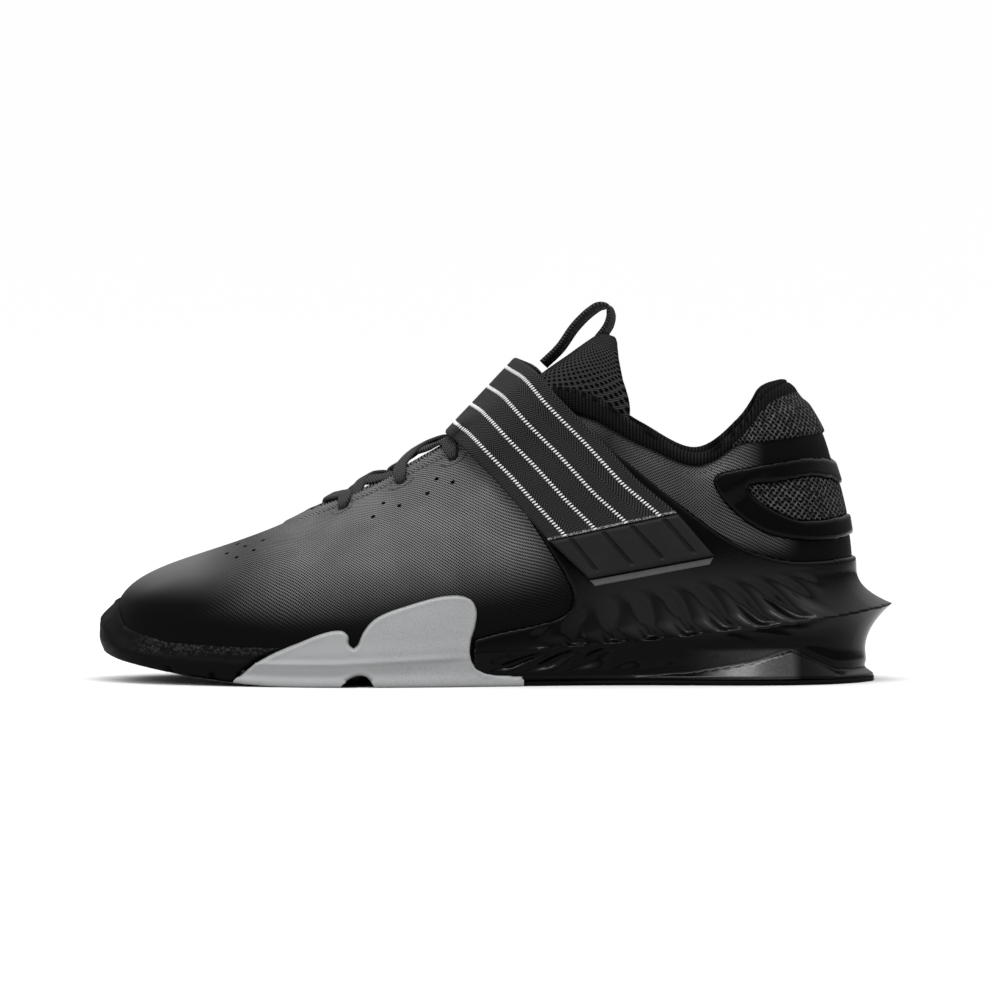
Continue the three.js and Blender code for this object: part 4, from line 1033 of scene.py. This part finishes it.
fin_front = traced([[0.166, 0.0], [0.166, 0.013], [0.177, 0.043], [0.194, 0.077], [0.217, 0.11],
                    [0.235, 0.13], [0.255, 0.15], [0.278, 0.173], [0.299, 0.187], [0.312, 0.186],
                    [0.319, 0.17], [0.32, 0.143], [0.326, 0.13]])
fin_rear = traced([[0.326, 0.13], [0.331, 0.14], [0.339, 0.183], [0.353, 0.223], [0.371, 0.247],
                   [0.394, 0.266], [0.421, 0.286], [0.448, 0.3], [0.471, 0.3], [0.485, 0.283],
                   [0.491, 0.25], [0.489, 0.2], [0.483, 0.15], [0.482, 0.11], [0.486, 0.077],
                   [0.498, 0.053], [0.516, 0.04], [0.552, 0.035]])
cup_back = traced([[0.552, 0.035], [0.553, 0.001]], soft=False)
flex_arch = traced([[0.3535, 0.001], [0.349, 0.02], [0.341, 0.037], [0.33, 0.038], [0.318, 0.024],
                    [0.3085, 0.001]])
cup_floor_back = traced([[0.553, 0.001], [0.3535, 0.001]], soft=False)
cup_floor_front = traced([[0.3085, 0.001], [0.166, 0.001]], soft=False)
cup_outline = np.vstack([fin_front, fin_rear[1:], cup_back[1:], cup_floor_back[1:], flex_arch[1:],
                         cup_floor_front[1:-1]])
cup_outline[:, 1] = np.maximum(cup_outline[:, 1], floor_at(cup_outline[:, 0]) + 0.02)
cups = []
for side in (-1, 1):
    ring = on_side(side, cup_outline)
    cups.append(cut_panel(f"cup{side}", ring, cup_place, spacing=0.75, wall=1.0))
front_stations = np.linspace(2.35, 4.25, 50)
rear_stations = np.linspace(4.62, 6.28, 50)
for name, some in (("cup_under_front", front_stations), ("cup_under_rear", rear_stations)):
    cups.append(under_sheet(name, some, lambda around, side: 0.62 * side_reach + 0 * around, tread_floor))
cup = joined(cups)
cup.name = "pale_cup"
pale = Finish("pale_grey_moulding", (0.36, 0.365, 0.37), 0.42, Specular_IOR_Level=0.45)
speckle = pale.noise(1700.0, 1.0).step(0.42, 0.68)
rear_speckle = pale.parts(pale.place())[0].step(-0.052, -0.04)
tone = pale.shade(pale.noise(40.0, 3.0), (0.235, 0.238, 0.241), (0.275, 0.279, 0.283))
pale.colour(speckle * rear_speckle * 0.35, tone, (0.15, 0.152, 0.155))
pale.feed("Roughness", 0.38 + pale.noise(300.0) * 0.14)
pale.bump(pale.noise(1300.0), 0.00006)
wear(cup, pale, "sole_forefoot")

# The heel's tread is a thin plain sheet of black rubber cemented under the moulding.


def tread_reach(around, side):
    return (row_values(heel_rows, station_of(around))[4] - 0.06) * heel_reach


tread_stations = np.linspace(6.27, last_station - 0.02, 130)
tread_top = under_sheet("heel_tread", tread_stations, tread_reach, lambda around: 0 * around + 1.9)
thicken(tread_top, 1.85)
low_point = min(vertex.co.z for vertex in tread_top.data.vertices)
if low_point > 0.001:
    tread_top.data.flip_normals()
wear(tread_top, rubber, "outsole_heel")

# The insole is a soft foam sheet with a cloth face that lies loose on the sole inside the upper.


insole_stations = np.linspace(0.03, last_station - 0.03, 120)
insole = under_sheet("foam_insole", insole_stations, lambda around, side: -4.5 + 0 * around,
                     lambda around: skin(around, 0 * around)[:, 2] + 3.0, across=30)
thicken(insole, 2.9)
foam = Finish("foam_cloth", (0.02, 0.02, 0.02), 0.95, Specular_IOR_Level=0.2)
foam_weave = foam.cells(1100.0)
foam.colour(foam_weave.step(0.1, 0.6), (0.012, 0.012, 0.012), (0.035, 0.035, 0.036))
foam.bump(foam_weave, 0.0002)
wear(insole, foam, "insole")

# The heel counter is a glossy moulded frame laminated on the upper, with a window of coarse mesh.
# Above it sits a panel of the same mesh whose edge is fused into the upper below the ankle roll.
counter_line = traced([[0.97, 0.4755], [0.95, 0.473], [0.916, 0.48], [0.882, 0.5], [0.848, 0.55],
                       [0.821, 0.616], [0.81, 0.676], [0.815, 0.696], [0.848, 0.716], [0.889, 0.733],
                       [0.929, 0.746], [0.955, 0.743]])
counter_ring = round_back(counter_line, height_at(0.486), height_at(0.73))
window_line = traced([[0.972, 0.549], [0.956, 0.543], [0.929, 0.543], [0.902, 0.566], [0.868, 0.616],
                      [0.857, 0.653], [0.895, 0.67], [0.929, 0.683], [0.945, 0.686], [0.965, 0.675]])
window_ring = round_back(window_line, height_at(0.557), height_at(0.652))


def raised(base, proud, radius):
    def placing(distance, height, depth):
        around = around_of(distance)
        up = up_at(around, height)
        return form(around, up, base + proud * rounded(depth, radius) + face_lift(around, up) * (up < 0.9))
    return placing


counter = cut_panel("counter_frame", counter_ring, raised(0.1, 1.45, 1.6), holes=[window_ring], wall=0.8)
wear(counter, gloss, "heel_counter")
window = cut_panel("counter_window", window_ring, raised(0.25, 0.15, 0.5), wall=0.4)
mesh_cloth = Finish("coarse_mesh", (0.02, 0.02, 0.02), 0.6, Specular_IOR_Level=0.03)
mesh_u, mesh_v = mesh_cloth.uv()
mesh_holes = crossed(mesh_u * 0.85, mesh_v, 2.3).step(0.06, 0.3)
mesh_fray = mesh_cloth.noise(800.0).step(0.3, 0.7)
mesh_yarn = mesh_cloth.shade(mesh_fray, (0.004, 0.004, 0.0041), (0.075, 0.075, 0.077))
mesh_cloth.colour(mesh_holes, mesh_yarn, (0.001, 0.001, 0.001))
mesh_cloth.bump((1 - mesh_holes) * 0.8 + mesh_fray * 0.2, 0.0009)
wear(window, mesh_cloth, None)

knit_line = traced([[0.955, 0.822], [0.916, 0.813], [0.882, 0.805], [0.85, 0.796], [0.834, 0.788],
                    [0.842, 0.823], [0.853, 0.86], [0.864, 0.905], [0.874, 0.945],
                    [0.884, 0.975], [0.9, 0.99]])
knit_ring = round_back(knit_line, height_at(0.82), height_at(0.99))
knit_limit = skin(around_of(knit_ring[:, 0]), np.full(len(knit_ring), 0.975))[:, 2]
knit_ring[:, 1] = np.minimum(knit_ring[:, 1], knit_limit)
heel_knit = cut_panel("heel_knit_panel", knit_ring, raised(0.15, 1.1, 1.2), wall=0.6)
wear(heel_knit, mesh_cloth, "heel_knit")

# The tongue is a padded strip of coarse honeycomb mesh over foam. It fills the throat under the laces
# and rises in front of the ankle, and is stitched down only at its toe end.
tongue_rows = np.array([
    [0.225, 0.485, 0.12, 0.05, 0.016], [0.29, 0.555, 0.17, 0.07, 0.02], [0.37, 0.664, 0.2, 0.09, 0.028],
    [0.45, 0.785, 0.21, 0.13, 0.034], [0.52, 0.895, 0.205, 0.26, 0.04], [0.575, 1.015, 0.2, 0.36, 0.05],
    [0.615, 1.085, 0.2, 0.205, 0.056], [0.645, 1.137, 0.18, 0.095, 0.056], [0.66, 1.16, 0.13, 0.05, 0.04],
])
tongue_shift = 1.2


def placed(rows, sideways):
    """Places for rows that begin with a share of the length and a share of the collar height."""
    return np.c_[length_at(rows[:, 0]), 0 * rows[:, 0] + sideways, height_at(rows[:, 1])]


tongue_line = through(placed(tongue_rows, 0))
tongue_spread = through(tongue_rows[:, [2, 4, 3]] * ball_width)
steps = np.linspace(0, 1, 130)
middle = tongue_line(steps)
wide, thick, deep = tongue_spread(steps).T
ahead = unit(tongue_line(np.minimum(steps + 0.002, 1)) - tongue_line(np.maximum(steps - 0.002, 0)))
level = np.array([0.92, 0, -0.39])
back = np.c_[ahead[:, 2], 0 * steps, -ahead[:, 0]]
turn = smooth((steps - 0.45) / 0.3)[:, None]
back = unit(back * (1 - turn) + level * turn)
angles = np.linspace(-np.pi / 2, np.pi / 2, 56)
S, T = np.meshgrid(np.arange(len(steps)), angles, indexing="ij")
fall = (1 - np.cos(T)) ** 1.1


def tongue_layer(inset):
    point = np.zeros(S.shape + (3,))
    point[..., 0] = middle[S, 0]
    point[..., 1] = tongue_shift + (wide[S] - inset * 0.4) * np.sin(T)
    point[..., 2] = middle[S, 2]
    return point + back[S] * (fall * (deep[S] - inset * 0.2) + inset)[..., None]


padded = thick[S] * (0.35 + 0.65 * np.sqrt(np.clip(np.cos(T), 0, 1)))
end_soft = rounded((1 - steps[S]) * 60, 3.0)
soft_inset = padded * 0.5 * (1 - end_soft)
outer_face = tongue_layer(soft_inset)
inner_face = tongue_layer(padded - soft_inset)
ring = np.concatenate([outer_face, inner_face[:, ::-1], outer_face[:, :1]], 1)
caps = [np.repeat(ring[end].mean(0)[None], ring.shape[1], 0)[None] for end in (0, -1)]
ring = np.concatenate([caps[0], ring, caps[1]], 0)
tongue_uv = np.zeros(ring.shape[:2] + (2,))
tongue_uv[..., 0] = np.r_[0, steps, 1][:, None] * 150
tongue_uv[..., 1] = np.r_[angles, angles[::-1], angles[0]][None, :] * 19
tongue = lay("mesh_tongue", ring, True, tongue_uv)
honeycomb = Finish("honeycomb_mesh", (0.02, 0.02, 0.02), 0.75, Specular_IOR_Level=0.03)
comb_u, comb_v = honeycomb.uv()
cell = crossed(comb_u * 0.8, comb_v, 2.5).step(0.18, 0.5)
yarn_turn = ((comb_u + comb_v) * (1 / 0.7)).wave()
comb_yarn = honeycomb.shade(yarn_turn, (0.012, 0.012, 0.012), (0.055, 0.055, 0.056))
honeycomb.colour(cell, comb_yarn, (0.001, 0.001, 0.001))
honeycomb.bump((1 - cell) * 0.8 + yarn_turn * 0.2, 0.0009)
wear(tongue, honeycomb, "tongue")

# The pull loop is a short piece of webbing sewn into the tongue's top edge.
loop_rows = np.array([
    [0.5815, 1.052], [0.604, 1.106], [0.6242, 1.176], [0.6446, 1.226], [0.6582, 1.2457],
    [0.6691, 1.242], [0.673, 1.219], [0.671, 1.188], [0.665, 1.162], [0.657, 1.138],
])


def ribbon(name, path, reference, width, thickness, round_count=16, corner=0.55):
    """Webbing or lace along a path; reference is the direction that its width follows."""
    path = np.asarray(path, float)
    ahead_here = unit(np.gradient(path, axis=0))
    side_way = np.broadcast_to(np.asarray(reference, float), path.shape)
    side_way = unit(side_way - ahead_here * (side_way * ahead_here).sum(1, keepdims=True))
    over = np.cross(ahead_here, side_way)
    turn_angle = np.linspace(0, 2 * np.pi, round_count + 1)
    wide_part = np.sign(np.cos(turn_angle)) * np.abs(np.cos(turn_angle)) ** corner
    high_part = np.sign(np.sin(turn_angle)) * np.abs(np.sin(turn_angle)) ** corner
    width = np.broadcast_to(width, (len(path),))[:, None, None] / 2
    thickness = np.broadcast_to(thickness, (len(path),))[:, None, None] / 2
    rings = (path[:, None] + side_way[:, None] * wide_part[None, :, None] * width
             + over[:, None] * high_part[None, :, None] * thickness)
    rings = np.concatenate([np.repeat(path[:1, None], round_count + 1, 1), rings,
                            np.repeat(path[-1:, None], round_count + 1, 1)], 0)
    distance = run_along(path)
    uv = np.zeros(rings.shape[:2] + (2,))
    uv[..., 0] = np.r_[distance[0], distance, distance[-1]][:, None]
    uv[..., 1] = (wide_part * float(width.max()))[None, :]
    return lay(name, rings, True, uv)


loop_path = through(placed(loop_rows, tongue_shift))
pull_loop = ribbon("pull_loop_webbing", loop_path(np.linspace(0, 1, 90)), (0.3, 1, -0.25), 8.5, 2.0, 20, 0.4)
webbing = Finish("black_twill_webbing", (0.012, 0.012, 0.012), 0.5, Specular_IOR_Level=0.05)
twill_u, twill_v = webbing.uv()
chevron = webbing.start.maths("PINGPONG", twill_v, 5.6)
twill = ((twill_u + chevron) * (1 / 1.25)).wave()
picks = (twill_v * (1 / 0.8)).wave()
webbing.colour(twill, (0.001, 0.001, 0.001), (0.034, 0.034, 0.035))
webbing.feed("Roughness", 0.5 + picks * 0.2)
webbing.bump(twill * 0.75 + picks * 0.25, 0.00035)
wear(pull_loop, webbing, "pull_loop")

# The strap is broad herringbone webbing over the instep. It is sewn with four pale lines of stitches,
# is caught under the wing on the inner side and ends in a stiff sewn tab on the outer side.
# Each row: share, front along, front up, rear along, rear up, front out, rear out
strap_rows = np.array([
    [0, 0.4495, 0.8224, 0.5414, 1.0733, 0, 0],
    [0.125, 0.4649, 0.8, 0.574, 1.034, 0.205, 0.25],
    [0.25, 0.4835, 0.7595, 0.596, 0.966, 0.29, 0.32],
    [0.5, 0.52, 0.6655, 0.654, 0.822, 0.325, 0.335],
    [0.75, 0.5544, 0.5716, 0.707, 0.679, 0.375, 0.35],
    [1, 0.5877, 0.4793, 0.7611, 0.5698, 0.4, 0.375],
    [1.3, 0.6418, 0.3534, 0.8102, 0.4293, 0.42, 0.39],
    [1.38, 0.654, 0.32, 0.801, 0.388, 0.42, 0.39],
])
strap_thickness = 1.9
# Roughly how far a slanting row reaches from the strap's front edge to its rear edge
row_reach = 52
top_x = skin(around_at(-1, np.linspace(0, last_station, 600)), np.ones(600))
rim_order = np.argsort(top_x[:, 0])


def strap_base(side, share, across):
    front_along, front_up, rear_along, rear_up, front_out, rear_out = row_values(strap_rows, share)
    x_here = length_at(blend(front_along, rear_along, across))
    z_here = height_at(blend(front_up, rear_up, across))
    free = blend(front_out, rear_out, across) * ball_width
    rim_here = np.interp(x_here, top_x[rim_order, 0], top_x[rim_order, 2])
    station = station_at(side, x_here, z_here)
    around = around_at(side, station)
    wall = np.abs(skin(around, up_at(around, z_here))[..., 1]) + gap + cage_wall + 0.9
    held = np.where(z_here < rim_here + 6, wall, 0)
    return np.stack([x_here, side * np.maximum(free, held), z_here], -1)


def ease(places, width):
    """Evens out the places along the strap."""
    kernel = np.hanning(2 * width + 3)[1:-1]
    kernel /= kernel.sum()
    before = places[:1] * 2 - places[width:0:-1]
    after = places[-1:] * 2 - places[-2:-width - 2:-1]
    held = np.concatenate([before, places, after])
    result = np.zeros(places.shape)
    for k, weight in enumerate(kernel):
        result += weight * held[k:k + len(places)]
    return result


share_line = np.linspace(-1.0, 1.3, 300)
across_line = np.linspace(0, 1, 61)
K, J = np.meshgrid(share_line, across_line, indexing="ij")
near_side = strap_base(-1, np.abs(K), J)
far_side = strap_base(1, np.abs(K), J)
strap_sheet = ease(np.where((K < 0)[..., None], near_side, far_side), 9)
along_way = np.gradient(strap_sheet, axis=0)
across_way = np.gradient(strap_sheet, axis=1)
strap_normal = unit(np.cross(across_way, along_way))
outside = np.stack([0 * K, np.sign(K) * np.minimum(np.abs(K) * 4, 1), 1.2 - np.abs(K)], -1)
strap_normal *= np.sign((strap_normal * outside).sum(-1, keepdims=True))
strap_run = run_along(strap_sheet[:, 30])
strap_uv = np.stack([np.repeat(strap_run[:, None], len(across_line), 1), J * row_reach], -1)
stitch_lines = (0.135, 0.37, 0.61, 0.87)
sunk = sum(np.exp(-((J - line) / 0.012) ** 2) for line in stitch_lines)
edge_soft = 0.45 * (1 - rounded(np.minimum(J, 1 - J) * row_reach, 1.4))
strap_top = strap_sheet + strap_normal * (strap_thickness - 0.25 * sunk - edge_soft)[..., None]
strap = lay("strap_webbing", strap_top, uv=strap_uv)
crest_face = max(strap.data.polygons, key=lambda polygon: polygon.center.z)
if crest_face.normal.z < 0:
    strap.data.flip_normals()
thicken(strap, 1.5)
wear(strap, webbing, "strap")


def sewn(name, rows, length, width, high, finish):
    """Rows of stitches: each is a place, the way that it points and the way that it faces."""
    bpy.ops.mesh.primitive_uv_sphere_add(segments=6, ring_count=4, radius=0.5)
    bead = bpy.context.object
    base = np.array([tuple(v.co) for v in bead.data.vertices])
    bead_faces = [tuple(f.vertices) for f in bead.data.polygons]
    bpy.data.objects.remove(bead)
    points, faces = [], []
    for place, way, facing in rows:
        way = unit(np.asarray(way, float))
        facing = unit(facing - way * (facing * way).sum())
        aside = np.cross(facing, way)
        start = len(points) * len(base)
        bead_at = place + base[:, :1] * aside * width + base[:, 1:2] * facing * high
        points.append(bead_at + base[:, 2:] * way * length)
        faces += [tuple(start + index for index in face) for face in bead_faces]
    piece = built(name, np.vstack(points), faces)
    smooth_all(piece)
    weld(piece, 1e-7)
    wear(piece, finish, None)


def spaced(path, facing, pitch):
    """Even places along a path, with the way that it runs and the way that the cloth faces."""
    distance = run_along(path)
    at = np.arange(pitch / 2, distance[-1], pitch)
    place = np.stack([np.interp(at, distance, path[:, k]) for k in range(3)], -1)
    face_here = np.stack([np.interp(at, distance, facing[:, k]) for k in range(3)], -1)
    run_here = np.gradient(path, axis=0)
    way = np.stack([np.interp(at, distance, run_here[:, k]) for k in range(3)], -1)
    return list(zip(place, way, unit(face_here)))


thread = Finish("pale_thread", (0.3, 0.3, 0.31), 0.6)
thread.colour(thread.noise(2200.0), (0.4, 0.4, 0.4), (0.75, 0.75, 0.75))
strap_stitches = []
for line in stitch_lines:
    column = line * (len(across_line) - 1)
    low_column, part = int(column), column - int(column)
    path = strap_top[:, low_column] * (1 - part) + strap_top[:, low_column + 1] * part
    facing = strap_normal[:, low_column]
    rungs = spaced(path + facing * 0.2, facing, 1.25)
    strap_stitches += [(place, np.cross(facing_here, way) + way * 0.35, facing_here)
                       for place, way, facing_here in rungs]
sewn("strap_stitches", strap_stitches, 1.75, 0.75, 0.6, thread)
end_path = strap_top[1] + strap_normal[1] * 0.05
frayed = [(place, strap_top[0, 0] - strap_top[4, 0], facing)
          for place, way, facing in spaced(end_path, strap_normal[1], 0.55)]
frayed_thread = Finish("frayed_thread", (0.1, 0.1, 0.1), 0.8)
frayed_thread.colour(frayed_thread.noise(1500.0).step(0.4, 0.6), (0.03, 0.03, 0.03), (0.3, 0.3, 0.3))
sewn("strap_frayed_end", frayed, 1.3, 0.4, 0.35, frayed_thread)

# The tab is a stiff welded pad over the strap's outer end, with a channel in line with each row of
# stitches. A thin grey backing shows along its lower edge.
# Rough millimetres for a share of one along the strap, and for a row across it
share_reach = 46
pad_row_reach = 49
tab_start = 1.005
tab_end = 1.3


def side_pad(name, share_from, share_to, columns, rows, top_of, wall):
    """A pad over the strap's outer end: top_of lifts its face, and a wall lies behind it."""
    shares = np.linspace(share_from, share_to, columns)
    places = np.linspace(0, 1, rows)
    P, Q = np.meshgrid(shares, places, indexing="ij")
    base = strap_base(-1, P, Q)
    normal = unit(np.cross(np.gradient(base, axis=1), np.gradient(base, axis=0)))
    normal *= np.sign(-normal[..., 1:2])
    from_end = np.minimum(P - share_from, share_to - P) * share_reach
    from_side = np.minimum(Q, 1 - Q) * pad_row_reach
    lift = top_of(P, Q, np.minimum(from_end, from_side))
    pad = lay(name, base + normal * lift[..., None], uv=np.stack([P * share_reach, Q * pad_row_reach], -1))
    if pad.data.polygons[0].normal.y > 0:
        pad.data.flip_normals()
    thicken(pad, wall)
    return pad


def tab_top(share, across, edge):
    part = (share - tab_start) / (tab_end - tab_start)
    channels = 0
    for first, last in ((0.156, 0.097), (0.406, 0.379), (0.625, 0.629), (0.875, 0.879)):
        line = blend(first, last, part)
        channels = channels + smooth((0.022 - np.abs(across - line)) / 0.012)
    within = smooth((part - 0.02) / 0.06) * (1 - smooth((part - 0.8) / 0.1))
    return gap + 2.6 * rounded(edge + 0.25, 1.5) - 1.1 * channels * within


tab = side_pad("strap_tab_pad", tab_start, tab_end, 60, 190, tab_top, 1.6)
pad_plastic = Finish("black_pad", (0.012, 0.012, 0.013), 0.5, Specular_IOR_Level=0.09)
pad_plastic.colour(pad_plastic.noise(90.0), (0.006, 0.006, 0.0063), (0.012, 0.012, 0.0125))
pad_plastic.feed("Roughness", 0.42 + pad_plastic.noise(400.0) * 0.2)
pad_plastic.bump(pad_plastic.cells(1500.0), 0.00006)
wear(tab, pad_plastic, "strap_tab")

underlay = side_pad("strap_backing", 1.307, 1.352, 16, 90,
                    lambda share, across, edge: gap + 1.1 * rounded(edge + 0.3, 0.8), 0.7)
backing = Finish("grey_backing", (0.07, 0.07, 0.072), 0.6)
backing.colour(backing.noise(500.0), (0.03, 0.03, 0.031), (0.055, 0.055, 0.057))
backing.bump(backing.noise(900.0), 0.0001)
wear(underlay, backing, "strap_underlay")

# The lace is flat braid. A bar lies across the first pair of holes; above it the lace crosses under
# and over by turns, and it passes through each hole. It runs on under the strap.
# Each row: from, to, starts, ends, over, arch
lace_rows = [
    (0, 0, 1, 1, 1.7, 1.9), (0, 1, 0, 0, -0.4, 2.9), (1, 2, 1, 1, 2.0, 3.8),
    (2, 3, 0, 0, -0.4, 2.8), (3, 4, 1, 0, 3.5, 6.4),
]
throat_up = np.array([-0.49, 0, 0.87])
throat_along = np.array([0.87, 0, 0.49])
lace_edge = 0.955
lace_width = 5.6
lace_thickness = 1.8
lace_steps = 110


def eyelet_around(side, eyelet):
    return float(around_at(side, eyelets[eyelet][0 if side < 0 else 1]))


def lace_end(side, eyelet, outside_of, over, far):
    around = eyelet_around(side, eyelet)
    rim_here = skin(around, 1.0)
    far_rim = skin(eyelet_around(-side, far), 1.0)
    if not outside_of:
        under_rim = blend(rim_here, far_rim, 0.13) + throat_up * min(over, -0.4)
        return [form(around, eyelet_up, 0.9), form(around, eyelet_up, -1.2),
                form(around, 0.945, -3.0), under_rim]
    above_rim = blend(rim_here, far_rim, 0.04) + throat_up * over
    return [form(around, eyelet_up - 0.004, -1.2), form(around, eyelet_up + 0.004, 0.75),
            form(around, lace_edge, lace_thickness / 2 + 0.5), above_rim]


def lace_path(side, row, offset):
    near, far, starts, ends, over, arch = row
    start = lace_end(side, near, starts, over, far)
    end = lace_end(-side, far, ends, over, near)[::-1]
    a, b = start[-1], end[0]
    middle_part = [blend(a, b, share) + throat_up * (lift * (arch - over) + offset)
                   for share, lift in ((0.25, 0.62), (0.5, 1), (0.75, 0.62))]
    return through(np.array(start + middle_part + end))(np.linspace(0, 1, lace_steps))


braid = Finish("flat_braid", (0.1, 0.1, 0.1), 0.8, Specular_IOR_Level=0.1)
braid_u, braid_v = braid.uv()
braid_slant = braid_v * 1.1
strands = ((braid_u + braid_slant) * (1 / 1.5)).wave() * 0.5
strands = strands + ((braid_u - braid_slant) * (1 / 1.5)).wave() * 0.5
braid.colour(strands.step(0.2, 0.8), (0.004, 0.004, 0.0041), (0.05, 0.05, 0.051))
braid.bump(strands, 0.0004)
for number, row in enumerate(lace_rows):
    strandings = [(-1, 0)] if number == 0 else [(-1, 0.7), (1, -0.7)]
    pieces = []
    for side, offset in strandings:
        path = lace_path(side, row, offset)
        steps_in = np.arange(lace_steps)
        reach_end = np.minimum(steps_in, lace_steps - 1 - steps_in)
        width = lace_width - 2.3 * (1 - smooth((reach_end - 9) / 12))
        pieces.append(ribbon(f"lace_{number}_{side}", path, throat_along, width, lace_thickness))
    lace = joined(pieces) if number else pieces[0]
    lace.name = f"lace_cross_braid_{number}" if number else "lace_bar_braid"
    wear(lace, braid, f"lace_cross_{number}" if number else "lace_bar")

# Seams and pinholes: the throat's folded edge is stitched down, and arcs of stitches hold it round the lace
# holes.
# The small air holes beside them and over the toes are not cut: each is a flat near-black disc, painted shade
# where a hole would be dark.
dark_thread = Finish("grey_thread", (0.05, 0.05, 0.05), 0.7)
dark_thread.colour(dark_thread.noise(2000.0), (0.003, 0.003, 0.003), (0.012, 0.012, 0.012))


def seam(side, stations_along, up, lift, pitch):
    """Stitches along one side of the upper, at one share of its height."""
    line = around_at(side, stations_along)
    return spaced(form(line, up, lift), normal_at(line, np.full(len(line), up)), pitch)


rows = []
for side in (-1, 1):
    rows += seam(side, np.linspace(3.0, ankle_station, 200), 0.925, 0.15, 2.0)
    for pair in eyelets[:4]:
        centre = around_at(side, pair[0 if side < 0 else 1])
        turn_angle = np.linspace(math.radians(200), math.radians(340), 40)
        arc = form(centre + 0.0075 * np.cos(turn_angle), eyelet_up + 0.055 * np.sin(turn_angle), 0.12)
        rows += spaced(arc, np.repeat(normal_at(centre, np.float64(eyelet_up))[None], 40, 0), 1.6)
    rows += seam(side, np.linspace(7.35, last_station - 0.02, 260), 0.9, 0.25, 2.4)
sewn("upper_stitches", rows, 1.4, 0.6, 0.35, dark_thread)

# Painted shade: each pinhole is a near-black disc laid on the surface in place of a hole.
pinhole_shade_discs = Finish("pinhole_shade", (0.001, 0.001, 0.001), 0.9, Specular_IOR_Level=0.0)
pinhole_shade_discs.feed("Roughness", 0.8 + pinhole_shade_discs.noise(300.0) * 0.2)
# Each mark: how far along and how far down a hole lies, in steps of the mark size
mark_size = 0.3864
mark_zero = (495, 680)
marks = np.array([
    [228, 554], [238, 546], [238, 557], [246, 547], [255, 550], [264, 541],
    [374, 516], [384, 503], [400, 505], [428, 493], [437, 479], [453, 482],
])
pin_x = (marks[:, 0] - mark_zero[0]) * mark_size
pin_z = (mark_zero[1] - marks[:, 1]) * mark_size + 1.2
dots = []
for side in (-1, 1):
    around = around_at(side, station_at(side, pin_x, pin_z))
    up = up_at(around, pin_z)
    face_way = normal_at(around, up)
    for place, facing in zip(form(around, up, 0.05), face_way):
        dots.append((place, np.cross(facing, np.array([0.0, 1, 0])), facing))
sewn("pinhole_shade_discs", dots, 1.8, 1.8, 0.2, pinhole_shade_discs)
